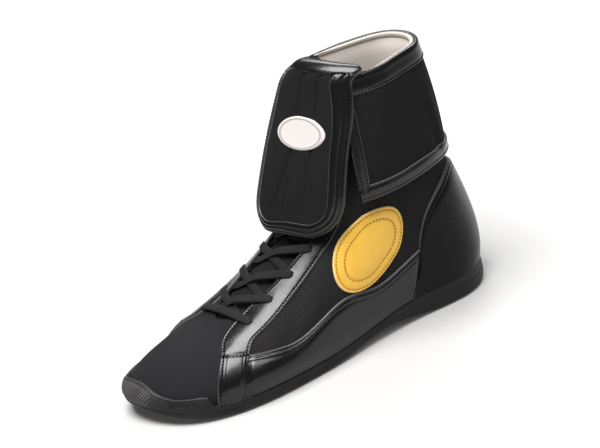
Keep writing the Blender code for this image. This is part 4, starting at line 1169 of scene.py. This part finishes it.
# middle layer: rows splined along, bowed back and down by a power of across, its sides wrapped or drooping
def tonguePoint(place, across):
    place, across = np.broadcast_arrays(np.asarray(place, float), np.asarray(across, float))
    x, y, z, half, yaw, back, down = np.moveaxis(openSpline(tongueRows, place), -1, 0)
    yaw, (power, flatter) = np.radians(yaw), tongue["bow"]
    bow = np.abs(across) ** (power + flatter * ease(place, *tongue["bowFrom"]))
    wrap = ease(across, *tongue["wrapSide"]) * ease(place, *tongue["wrapFrom"]) * fade(place, *tongue["wrapTo"])
    droop = ease(-across, *tongue["droopSide"]) * ease(place, *tongue["droopFrom"]) * fade(place, *tongue["droopTo"])
    (wrapBack, wrapOut), (droopOut, droopDown) = tongue["wrap"], tongue["droop"]
    over = across * half + flapLean(place, across)
    return np.stack([x - over * np.sin(yaw) - bow * back * np.cos(yaw) - wrapBack * wrap,
                     y + over * np.cos(yaw) - bow * back * np.sin(yaw) + wrapOut * wrap + droopOut * droop,
                     z - bow * down - droopDown * droop], -1)


# cross product of a small step along the tongue and one across it
def tongueNormal(place, across):
    step, wide = 0.002, 0.02
    along = tonguePoint(np.minimum(place + step, 1.0), across) - tonguePoint(np.maximum(place - step, 0.0), across)
    over = tonguePoint(place, across + wide) - tonguePoint(place, across - wide)
    return unit(np.cross(along, over))


# point moved outward along the normal
def tongueOffset(place, across, distance):
    place, across, distance = np.broadcast_arrays(*(np.asarray(v, float) for v in (place, across, distance)))
    return tonguePoint(place, across) + tongueNormal(place, across) * distance[..., None]


# bells about the pleat lines
def flapRelief(place, across):
    return addCreases(0.0 * (place + across), tongue["pleats"], place, across, tongue["plane"])


# share of the full thickness: a quarter-round towards the side edges and both ends
def tongueFull(place, across):
    side = quarterRound((1.0 - np.abs(across)) / tongue["sideRound"])
    return side * quarterRound(np.minimum(place, 1.0 - place) / tongue["endRound"])


# middle layer offset to both sides by half the thickness, the pleats on the front alone
def makeTongue():
    place, even = np.linspace(0.0, 1.0, tongue["steps"]), np.linspace(-1.0, 1.0, tongue["across"])
    crowdedOver = 0.5 * np.sin(even * math.pi / 2 * 0.999) + 0.5 * even   # closer together at the side edges
    place, across = np.meshgrid(place, crowdedOver)
    full = tongue["thinnest"] + (1.0 - tongue["thinnest"]) * tongueFull(place, across)
    half = 0.5 * tongue["thickness"] * full
    outer = tongueOffset(place, across, half + flapRelief(place, across) * full)
    inner = tongueOffset(place, across, -half)
    uv = np.stack([place, across], -1) * np.array(tongue["knitPlane"])
    addPiece("tongue", np.stack([outer, inner]), shellQuads(*place.shape), knitMaterial, ["tongue"],
             uv=np.stack([uv, uv]))


flapBinding = dict(width=8.6, widths=(4.6, 8.6, 8.4), backWidth=6.0, height=0.9, groove=0.22, sewn=(1.9, 7.6),
                   sewnFrom=0.1, step=1.2, passes=10)

foldBand = dict(places=(0.505, 0.573), rows=22, columns=70, reach=1.005, halfWidth=30.0, round=0.8, sideRound=3.0,
                sink=0.3, rise=1.7, back=0.6, groove=0.22, grooveWidth=0.45, sewn=1.6, sewnReach=0.89,
                sewnHeight=1.18, sewnSteps=80)


# edge of the flap flattened to millimetres across and along, as a table from along to place and half width
def flapTable():
    place = np.linspace(tongue["flapFrom"] - 0.03, 1.0, 400)
    return place, lengthAlong(tonguePoint(place, 0.0 * place)), openSpline(tongueRows, place)[:, 3]


# point above the flap at millimetres across and along its flattened plane
def flapPoint(table, flat, height):
    place = np.interp(flat[..., 1], table[1], table[0])
    across = flat[..., 0] / np.interp(place, table[0], table[2])
    return tongueOffset(place, across, height), tongueNormal(place, across)


# reach from the edge and height from the middle layer: front leg with two sewn grooves, rounded edge, back leg
def flapSection():
    thick, wide, back = tongue["thickness"] / 2, flapBinding["width"], flapBinding["backWidth"]
    top, groove = thick + flapBinding["height"], flapBinding["groove"]
    return np.array([
        (wide, thick - 0.3), (wide, thick + 0.3), (wide - 0.15, thick + 0.6), (wide - 0.5, top - 0.05),
        (7.6, top - groove), (6.9, top), (5.6, top + 0.2), (4.9, top - 0.1), (4.5, top - 0.5), (4.1, top - 0.1),
        (3.4, top + 0.3), (2.6, top), (1.9, top - groove), (1.2, top - 0.05), (0.5, thick + 0.5),
        (0.0, thick - 0.1), (-0.35, 0.6 * thick), (-0.5, 0.0), (-0.35, -0.6 * thick), (0.1, -thick),
        (0.7, -thick - 0.5), (1.6, -thick - 0.75), (back - 0.6, -thick - 0.75), (back, -thick - 0.4),
        (back, -thick + 0.3), (2.5, -thick + 0.5), (1.4, 0.0), (2.5, thick - 0.5)])


# band over the fold, laid across the flap's top: rounded edges and a groove along both of its long sides
def flapBand():
    thick = tongue["thickness"] / 2
    start, end = foldBand["places"]
    shape = foldBand["rows"], foldBand["columns"]
    share = np.linspace(0.0, 1.0, foldBand["rows"])[:, None]
    place = np.broadcast_to(start + (end - start) * share, shape)
    across = np.broadcast_to(np.linspace(-foldBand["reach"], foldBand["reach"], foldBand["columns"]), shape)
    inset = np.minimum(share, 1 - share) * (end - start) * tongue["plane"][0]
    sideInset = (foldBand["reach"] - np.abs(across)) * foldBand["halfWidth"]
    rounded = quarterRound(np.minimum(inset / foldBand["round"], sideInset / foldBand["sideRound"]))
    groove = foldBand["groove"] * bell(inset - foldBand["sewn"], foldBand["grooveWidth"])
    front = tongueOffset(place, across, thick - foldBand["sink"] + foldBand["rise"] * rounded - groove)
    behind = tongueOffset(place, across, -thick * foldBand["back"])
    edge = np.minimum(inset, sideInset) + 0.1
    over = np.linspace(-foldBand["sewnReach"], foldBand["sewnReach"], foldBand["sewnSteps"])
    sewn, height = foldBand["sewn"] / tongue["plane"][0], thick + foldBand["sewnHeight"]
    lines = [np.hstack([tongueOffset(spot, over, height), tongueNormal(spot, over)])
             for spot in (end - sewn, start + sewn)]
    return np.stack([front, behind]).reshape(-1, 3), shellQuads(*shape), np.stack([edge, edge]).ravel(), lines


# leather folded over the edge: its flat section carried round the edge, joined with the band over the fold
def makeFlapBinding():
    table = flapTable()
    _, along, half = table
    left = np.stack([-half, along], -1)
    outline = np.concatenate([left, (left * np.array([-1.0, 1.0]))[::-1]])
    outline = softLine(outline, flapBinding["step"], flapBinding["passes"])
    ahead = unit(np.gradient(outline, axis=0))
    inward = np.stack([ahead[:, 1], -ahead[:, 0]], -1)
    section, wide = flapSection(), flapBinding["width"]
    scale = np.interp(outline[:, 0] / half.max(), (-1.0, 0.0, 1.0), flapBinding["widths"]) / wide
    reach = np.where(section[:, 1] > 0, scale[:, None], 1.0) * section[:, 0]
    flat = outline[:, None] + inward[:, None] * reach[..., None]
    points, _ = flapPoint(table, flat, np.broadcast_to(section[:, 1], flat.shape[:2]))
    edge = np.broadcast_to(np.minimum(np.abs(wide - section[:, 0]), 3.0) + 0.2, points.shape[:2])
    band, bandFaces, bandEdge, bandLines = flapBand()
    pieces = [points.reshape(-1, 3), band]
    faces = [*tubeFaces(*points.shape[:2]), bandFaces + len(pieces[0])]
    addPiece("flap_binding", np.concatenate(pieces), orient(pieces, faces), leatherMaterial,
             ["flap_binding"], marks={"edge": np.concatenate([edge.ravel(), bandEdge])})
    lines = []
    height = tongue["thickness"] / 2 + flapBinding["height"] - flapBinding["groove"]
    for inset in flapBinding["sewn"]:
        line = outline + inward * (inset * scale)[:, None]
        line = line[line[:, 1] > along[-1] * flapBinding["sewnFrom"]]
        lines.append(np.hstack(flapPoint(table, line, height)))
    addStitches("flapStitches", lines + bandLines, threadMaterial)


# padded oval: rounded rim, a low ring inside it, and a thin grey oval line
def makeBadge():
    share = np.concatenate([np.linspace(*span) for span in badge["shares"]])[:, None]
    angle = circle(badge["spokes"])
    place = badge["place"] - share * (np.sin(angle) * badge["tall"])
    over = badge["across"] + share * np.cos(angle) * badge["wide"]
    half = openSpline(tongueRows, place)[..., 3]
    across = over / half
    for _ in range(4):   # the lean shifts the flap under the badge
        across = (over - flapLean(place, across)) / half
    inset = (1.0 - share) * badge["narrow"]
    ridge, ridgeInset, ridgeWidth = badge["ridge"]
    height = badge["thickness"] * quarterRound(inset / badge["round"]) + ridge * bell(inset - ridgeInset, ridgeWidth)
    height = height + 0.0 * angle
    thick = tongue["thickness"] / 2
    base = tongueOffset(place, across, thick + badge["lift"])
    middle = base.mean((0, 1))
    facing = unit(tongueNormal(badge["place"], badge["across"] / half.mean()))
    base = base - facing * (badge["stiff"] * ((base - middle) @ facing))[..., None]
    outer = base + facing * height[..., None]
    inner = tongueOffset(place, across, thick - badge["sink"])
    ring, ringWidth = badge["ring"]
    line = bell(share - ring, ringWidth) + 0.0 * angle
    uv = np.stack([across, place], -1) * np.array(badge["plane"])
    addPiece("badge", np.stack([outer, inner]), discFaces(*place.shape), badgeMaterial, ["badge"],
             uv=np.stack([uv, uv]), marks={"line": np.stack([line, line])})


makeTongue()
makeFlapBinding()
makeBadge()
print("tongue, flap and badge made")


# Cuff

# hem points of the outer half, and folds as around, up to around, up, then width and depth
cuff = dict(
    turn=3.45, topRise=0.985, stand=0.5, wall=2.0, bulge=2.0, tuck=(12.0, 5.5, 0.5), tuckFrom=(0.7, 0.3), hem=0.125,
    band=0.885, frontStrip=0.075, plane=(105.0, 85.0), columns=260, rows=60,
    bottom=((18.5, 0.0, 102.5), (25.0, 19.5, 103.0), (44.0, 33.0, 103.5), (76.0, 41.5, 102.5), (103.0, 41.0, 103.0)),
    folds=((0.62, 0.2, 0.5, 0.75, 7.0, -1.0), (0.4, 0.14, 0.43, 0.5, 3.5, -1.1), (0.34, 0.14, 0.37, 0.55, 4.0, 1.0),
           (0.47, 0.14, 0.52, 0.4, 4.0, 0.7), (0.86, 0.25, 0.8, 0.8, 6.0, 0.6), (0.08, 0.2, 0.02, 0.7, 8.0, -0.8)))


# straight from the hem curve to the collar, bulged by four times up times its rest
def cuffPoint(around, up):
    around, up = np.broadcast_arrays(np.asarray(around, float), np.asarray(up, float))
    full = np.full(around.shape, cuff["topRise"])
    top = wallOffset(around * cuff["turn"], full, cuff["stand"])
    tuck = ease(np.abs(around), *cuff["tuckFrom"])[..., None]
    ahead, inward, down = cuff["tuck"]
    top = top + tuck * np.stack([ahead + 0 * around, -inward * np.sign(around), -down + 0 * around], -1)
    half = np.array(cuff["bottom"])
    bottom = openSpline(np.vstack([half[:0:-1] * np.array([1.0, -1.0, 1.0]), half]), 0.5 * (around + 1.0))
    share = up[..., None]
    out = wallNormal(around * cuff["turn"], full)
    return bottom * (1 - share) + top * share + out * (4.0 * cuff["bulge"] * share * (1 - share))


# cross product of a small step up the cuff and one round it
def cuffNormal(around, up):
    step = 0.01
    sideways = cuffPoint(around + step, up) - cuffPoint(around - step, up)
    upward = cuffPoint(around, up + step) - cuffPoint(around, up - step)
    return unit(np.cross(upward, sideways))


# soft folds of the cloth: bells about lines, the same on both sides
def cuffRelief(around, up):
    rows = [(side * a0, u0, side * a1, u1, width, depth)
            for a0, u0, a1, u1, width, depth in cuff["folds"] for side in (1.0, -1.0)]
    return addCreases(0.0 * (around + up), rows, around, up, cuff["plane"])


# point moved outward along the normal, on the folds
def cuffOffset(around, up, distance):
    around, up, distance = np.broadcast_arrays(*(np.asarray(v, float) for v in (around, up, distance)))
    return cuffPoint(around, up) + cuffNormal(around, up) * (distance + cuffRelief(around, up))[..., None]


# cut edge from the binding's width and the cuff's outer face, outer leg from that face, then the turned edge with
# the inner leg, where a height is a share of the cuff's wall and an extra
cuffTrim = dict(
    cutEdge=((0.0, -0.2, 0.0), (0.0, 0.5, 0.1), (-0.35, 0.95, 0.45), (-1.0, 1.05, 1.1), (-1.7, 0.85, 1.8),
             (-2.4, 1.1, 2.5)),
    leg=((2.8, 1.2), (2.0, 0.95), (1.2, 1.05), (0.2, 0.8)), hemMiddle=(0.55, 1.25), far=3.0,
    hemTurn=((-0.55, 1.0, 0.1), (-0.8, 0.5, 0.0), (-0.6, 0.0, 0.0), (0.1, 0.0, -0.35), (2.0, 0.0, -0.45),
             (6.0, 0.0, -0.45), (6.5, 0.0, -0.2), (6.5, 0.0, 0.4), (1.5, 0.5, 0.0)),
    frontTurn=((-0.5, 1.0, 0.1), (-0.7, 0.5, 0.0), (-0.5, 0.0, 0.1), (0.2, 0.0, -0.3), (2.0, 0.0, -0.4),
               (5.0, 0.0, -0.4), (5.4, 0.0, 0.4), (1.5, 0.5, 0.0)),
    hemSewn=(4, 8), frontSewn=(4, 7), hemSteps=220, frontSteps=110, frontEnds=(0.5, 0.03))


# closed section of a binding: run in millimetres, height above the cuff's inner face, distance from the cut edge
def bindingSection(width, leg, turned):
    wall, far = cuff["wall"], cuffTrim["far"]
    rows = [(width + run, wall + height, cut) for run, height, cut in cuffTrim["cutEdge"]]
    rows += [(run, wall + height, far) for run, height in leg]
    rows += [(run, wall * share + extra, far) for run, share, extra in turned]
    return np.array(rows)


# section with its runs as shares of the cuff, carried round the hem or up the front; sewn are rows of the section
def cuffBinding(name, section, sewn, upright, run):
    runGrid, shareGrid = np.meshgrid(run, section[:, 0], indexing="ij")
    around, up = (shareGrid, runGrid) if upright else (runGrid, shareGrid)
    points = cuffOffset(around, up, np.broadcast_to(section[:, 1], around.shape))
    edge = np.broadcast_to(section[:, 2], around.shape)
    addPiece(name, points, tubeFaces(*around.shape), leatherMaterial, [name], marks={"edge": edge})
    lines = []
    for place, height in section[list(sewn), :2]:
        around, up = (place, run) if upright else (run, place)
        lines.append(np.hstack([cuffOffset(around, up, height), cuffNormal(around, up)]))
    return lines


# knit between its outer and inner face, then the strips round hem, front edges and collar
def makeCuff():
    around, up = np.meshgrid(np.linspace(-1.0, 1.0, cuff["columns"]), np.linspace(0.0, 1.0, cuff["rows"]))
    outer, inner = cuffOffset(around, up, cuff["wall"]), cuffOffset(around, up, 0.0)
    uv = np.stack([around, up], -1) * np.array(cuff["plane"])
    addPiece("cuff", np.stack([outer, inner]), shellQuads(*around.shape), knitMaterial, ["cuff"],
             uv=np.stack([uv, uv]))
    wide, tall = cuff["plane"]
    hem, strip = cuff["hem"] * tall, cuff["frontStrip"] * wide
    share, height = cuffTrim["hemMiddle"]
    section = bindingSection(hem, ((hem * share, height), *cuffTrim["leg"]), cuffTrim["hemTurn"])
    section[:, 0] /= tall
    lines = cuffBinding("cuff_bottom_binding", section, cuffTrim["hemSewn"], False,
                        np.linspace(-1.0, 1.0, cuffTrim["hemSteps"]))
    low, high = cuffTrim["frontEnds"]
    run = np.linspace(cuff["hem"] * low, cuff["band"] + high, cuffTrim["frontSteps"])
    for side, name in ((1.0, "lateral"), (-1.0, "medial")):
        section = bindingSection(strip, cuffTrim["leg"], cuffTrim["frontTurn"])
        section[:, 0] = side * (1.0 - section[:, 0] / wide)
        lines += cuffBinding(f"cuff_front_binding_{name}", section, cuffTrim["frontSewn"], True, run)
    lines += makeCollarBinding()
    addStitches("cuffStitches", lines, threadMaterial)


# leg rows are a share of the way up and a height in thicknesses; roll rows are a rise and an inset of the wall
collarTrim = dict(
    steps=240, outside=0.15, thick=1.1, inside=-2.15, rise=0.3, outerRise=0.3, liningRise=0.4, corner=0.7,
    leg=((0.0, 0.6), (0.12, 0.65), (0.16, 0.42), (0.2, 0.68), (0.5, 0.8), (0.85, 0.7)), sewn=2, sewnRise=0.05,
    turned=(0.42, 0.58, 0.4), turnedThick=1.2, cutEdge=(0.0, 0.2, 0.5), far=3.0,
    roll=((0.996, -2.8), (0.991, -2.7), (0.988, -2.4), (0.988, -1.6), (0.993, -1.6)), rollDrop=(0.7, 0.6),
    rollCorner=0.4)


# leather leg outside the cuff that turns over the edge, and the lining's padded roll inside it, corners cut round
def makeCollarBinding():
    around = np.linspace(-1.0, 1.0, collarTrim["steps"])
    turn, up = around * cuff["turn"], np.array([0.0, 0.0, 1.0])
    outside, thick, inside = cuff["wall"] + collarTrim["outside"], collarTrim["thick"], collarTrim["inside"]
    outerTop, innerTop = cuffOffset(around, 1.0, outside + 0.5 * thick), cuffOffset(around, 1.0, outside)
    insideTop, liningTop = wallOffset(turn, 1.0, inside), wallOffset(turn, 1.0, inside - 0.6 * thick)
    level = np.maximum(outerTop[:, 2], insideTop[:, 2]) + collarTrim["rise"]
    for line, extra in ((outerTop, collarTrim["outerRise"]), (innerTop, 0.0), (liningTop, collarTrim["liningRise"])):
        line[:, 2] = level + extra
    outerShare, liningShare, lift = collarTrim["turned"]
    turned = outerShare * outerTop + liningShare * liningTop + up * lift
    shares, heights = np.array(collarTrim["leg"]).T
    places, heights = cuff["band"] + (1.0 - cuff["band"]) * shares, outside + thick * heights
    leg = [cuffOffset(around, place, height) for place, height in zip(places, heights)]
    cut = cuffOffset(around, cuff["band"], outside - 0.2)
    rings = np.stack([cut, *leg, outerTop, turned, turned - up * collarTrim["turnedThick"], innerTop])
    points = np.moveaxis(bluntLoop(rings, collarTrim["corner"]), 0, 1)
    edge = np.full(points.shape[:2], collarTrim["far"])
    edge[:, :len(collarTrim["cutEdge"])] = collarTrim["cutEdge"]
    addPiece("cuff_top_binding", points, tubeFaces(*points.shape[:2]), leatherMaterial,
             ["cuff_top_binding"], marks={"edge": edge})
    turnedDrop, liningDrop = collarTrim["rollDrop"]
    roll = np.stack([turned - up * turnedDrop, liningTop - up * liningDrop,
                     *(wallOffset(turn, rise, inset) for rise, inset in collarTrim["roll"])])
    points = np.moveaxis(bluntLoop(roll, collarTrim["rollCorner"]), 0, 1)
    addPiece("collarRoll", points, tubeFaces(*points.shape[:2]), liningMaterial,
             marks={"rim": np.ones(points.shape[:2])})
    place, height = places[collarTrim["sewn"]], heights[collarTrim["sewn"]] + collarTrim["sewnRise"]
    return [np.hstack([cuffOffset(around, place, height), cuffNormal(around, place)])]


makeCuff()
print("cuff made")


# Laces and their holes

# holes of the outer side as turn and rise, from the toe up
lacing = dict(holes=((8.17, 0.745), (7.65, 0.825), (7.1, 0.875), (6.55, 0.92), (6.0, 0.93)), skew=0.48, lift=1.75,
              edgeRise=0.975, edgeLift=0.3, edgeSearch=(-0.3, 1.0, 80), landing=6, sinkAhead=0.25, sinkDepth=2.6,
              outTurn={1: 0.08, -1: 0.3}, outIn=4.5, outDepth=-0.8, underIn=0.5, underDepth=-1.8,
              barArch=2.0, crossArch=3.2, overUnder=0.9)


# turn and rise of a hole, on the inner side mirrored and set further to the toe
def holePlace(number, side):
    turn, rise = lacing["holes"][number]
    return (turn, rise) if side > 0 else (fullTurn - turn - lacing["skew"], rise)


# mean of the way up at both edges of the throat beside a hole
def instepUp(number):
    turn, edge = np.array(lacing["holes"][number][0]), np.array(lacing["edgeRise"])
    return unit(wallNormal(turn, edge) + wallNormal(fullTurn - turn, edge))


# place under the throat's edge, or inward of it, where a lace comes out
def laceExit(turn, side, number, depth, inward):
    edge = wallOffset(np.array(turn), np.array(1.0), depth)
    return np.concatenate([edge - np.array([0.0, side * inward, 0.0]), instepUp(number)])


# flat rounded section carried along the smoothed route, narrower where it goes down a hole
def laceStrip(route, taperStart):
    line = softLine(np.array(route), lace["step"], lace["passes"])
    point, up = line[:, :3], line[:, 3:]
    ahead = unit(np.gradient(point, axis=0))
    over = unit(np.cross(ahead, up))
    up = unit(np.cross(over, ahead))
    length = lengthAlong(point)
    narrow, rest = lace["taper"]
    taper = narrow + rest * smoothStep((length[-1] - length) / lace["taperLength"])
    if taperStart:
        taper = (narrow + rest * smoothStep(length / lace["taperLength"])) * taper
    cosine, sine = np.cos(circle(lace["sides"])), np.sin(circle(lace["sides"]))
    widePower, tallPower = lace["square"]
    wide = 0.5 * lace["width"] * np.sign(cosine) * np.abs(cosine) ** widePower
    tall = 0.5 * lace["thickness"] * (np.sign(sine) * np.abs(sine) ** tallPower + 1.0)
    points = point[:, None] + over[:, None] * (taper[:, None] * wide)[..., None] + up[:, None] * tall[None, :, None]
    return points, np.stack(np.broadcast_arrays(length[:, None], wide[None]), -1)


# from the throat's edge, met where the straight way to the hole crosses it, along the leather and down the hole
def laceLanding(start, number, side):
    holeTurn, holeRise = holePlace(number, side)
    target = wallLine(holeTurn, holeRise, lacing["lift"])[:3]
    turns = holeTurn + side * np.linspace(*lacing["edgeSearch"])
    away = wallOffset(turns, lacing["edgeRise"], lacing["lift"]) - start
    ahead = unit(target - start)
    off = away - (away @ ahead)[:, None] * ahead
    sideways = unit(np.cross(ahead, instepUp(number)))
    edgeTurn = turns[np.argmin(np.abs(off @ sideways))]
    share = np.linspace(0.0, 1.0, lacing["landing"])
    turn, rise = edgeTurn * (1 - share) + holeTurn * share, lacing["edgeRise"] * (1 - share) + holeRise * share
    over = wallLine(turn, rise, lacing["lift"] + lacing["edgeLift"] * (1 - share))
    sunk = over[-1] + (over[-1] - over[-2]) * lacing["sinkAhead"]
    sunk[:3] -= wallNormal(turn[-1], rise[-1]) * lacing["sinkDepth"]
    return [*over, sunk], edgeTurn


# half way between two points of a route, raised by the arch
def laceMiddle(first, second, number, arch):
    up = instepUp(number)
    return np.concatenate([0.5 * (first[:3] + second[:3]) + up * arch, up])


# strips of one crossing as one piece
def addLace(name, strips):
    start, faces, points, uvs = 0, [], [], []
    for strip, uv in strips:
        faces += tubeFaces(*strip.shape[:2], start=start)
        start += strip.shape[0] * strip.shape[1]
        points.append(strip.reshape(-1, 3))
        uvs.append(uv.reshape(-1, 2))
    addPiece(name, np.concatenate(points), orient(points, faces), laceMaterial, [name],
             uv=np.concatenate(uvs))


# bar over the lowest holes, then crossings that come out under one edge and land at the next hole of the other
def makeLaces():
    holes = {side: wallLine(*holePlace(0, side), lacing["lift"])[:3] for side in (1, -1)}
    landings = {side: laceLanding(holes[-side], 0, side) for side in (1, -1)}
    middle = laceMiddle(landings[1][0][0], landings[-1][0][0], 0, lacing["barArch"])
    addLace("lace_bar", [laceStrip([*landings[1][0][::-1], middle, *landings[-1][0]], True)])
    for number in range(len(lacing["holes"]) - 1):
        strips, after = [], {}
        for side in (1, -1):
            turn = landings[side][1] - side * lacing["outTurn"][side]
            start = laceExit(turn, side, number, lacing["outDepth"], lacing["outIn"])
            under = laceExit(turn, side, number, lacing["underDepth"], lacing["underIn"])
            after[-side] = laceLanding(start[:3], number + 1, -side)
            arch = lacing["crossArch"] - side * lacing["overUnder"]
            middle = laceMiddle(start, after[-side][0][0], number, arch)
            strips.append(laceStrip([under, start, middle, *after[-side][0]], False))
        landings = after
        addLace(f"lace_cross_{number + 1}", strips)


# dark cup in the leather: profile of radius and height turned round the hole's own axis
def makeHoles():
    profile, sides = np.array(hole["profile"]), hole["sides"]
    radius, depth = profile[:, :1] * hole["radius"], profile[:, 1:]
    angle = circle(sides)
    start, points, faces = 0, [], []
    for number in range(len(lacing["holes"])):
        for side in (1, -1):
            turn, rise = holePlace(number, side)
            relief = float(wallRelief(np.array(turn), np.array(rise)))
            spot = wallLine(turn, rise, overlay["lift"] + overlay["thickness"] + relief)
            up = spot[3:]
            across = unit(np.cross(up, np.array([1.0, 0.0, 0.0])))
            along = np.cross(up, across)
            ring = across * np.cos(angle)[:, None] + along * np.sin(angle)[:, None]
            grid = spot[:3] + ring[:, None] * radius[None] + up * depth[None]
            quads = gridQuads(sides, len(profile), True, start)
            faces.append(np.concatenate([quads, holeClose(sides, len(profile), start)]))
            points.append(grid.reshape(-1, 3))
            start += grid.size // 3
    addPiece("laceHoles", np.concatenate(points), orient(points, faces), holeMaterial)


# quads from the last of a hole's profiles back to its first
def holeClose(profiles, corners, start):
    first = start + np.arange(corners)
    last = first + (profiles - 1) * corners
    return np.stack([last, np.roll(last, -1), np.roll(first, -1), first], -1)


makeLaces()
makeHoles()
print("laces and holes made")


# Floor, light and world

studio = dict(
    floor=(0.485, 0.48, 0.478), floorHalf=8, grainScale=300.0, grainShade=0.97, roughness=0.9, specular=0.1,
    glow=0.36, nearGlow=(0.12, 0.117, 0.115), farGlow=(1.0, 0.98, 0.97), glowMiddle=0.1, glowReach=(0.02, 0.12),
    world=(0.9, 0.92, 0.95), worldStrength=0.1,
    lamps=dict(softbox=dict(size=(0.7, 1.0), place=(0.44, 0.185, 1.4), power=38.0),
               side=dict(size=(0.45, 1.2), place=(-0.15, 0.95, 1.4), power=12.0),
               backdrop=dict(size=(1.6, 1.6), place=(-1.1, -1.7, 1.6), power=60.0)))


# pale floor whose glow is painted light that lifts its shadows; it glows less round the shoe, so that contact shadows
# show
def makeFloor():
    half = studio["floorHalf"]
    mesh = bpy.data.meshes.new("floor")
    mesh.from_pydata([(-half, -half, 0), (half, -half, 0), (half, half, 0), (-half, half, 0)], [], [(0, 1, 2, 3)])
    f = Finish("paleFloor", {"Roughness": studio["roughness"], "Specular IOR Level": studio["specular"],
                             "Emission Strength": studio["glow"]})
    place = f.place()
    grain = f.noise(place, studio["grainScale"])
    x, y, _ = f.axes(place)
    ahead = x - studio["glowMiddle"]
    away = f.soft(ahead * ahead + y * y, *studio["glowReach"])   # square of the distance from the shoe
    colour = f.mix(grain, studio["floor"], tint(studio["floor"], studio["grainShade"]))
    glow = f.mix(away, studio["nearGlow"], studio["farGlow"])
    mesh.materials.append(f.done(Base_Color=colour, Emission_Color=glow))
    floor = bpy.data.objects.new("floor", mesh)
    bpy.context.scene.collection.objects.link(floor)


# soft lamps that point straight down, and a dim world
def makeStudio():
    makeFloor()
    for name, lamp in studio["lamps"].items():
        light = bpy.data.lights.new(name, "AREA")
        light.shape = "RECTANGLE"
        light.size, light.size_y = lamp["size"]
        light.energy = lamp["power"]
        holder = bpy.data.objects.new(name, light)
        holder.location = lamp["place"]
        holder.visible_camera = False
        bpy.context.scene.collection.objects.link(holder)
    world = bpy.data.worlds.new("studio")
    world.use_nodes = True
    back = world.node_tree.nodes["Background"]
    back.inputs["Color"].default_value = (*studio["world"], 1.0)
    back.inputs["Strength"].default_value = studio["worldStrength"]
    bpy.context.scene.world = world
    bpy.context.scene.view_settings.view_transform = "Standard"


makeStudio()
print("studio made")
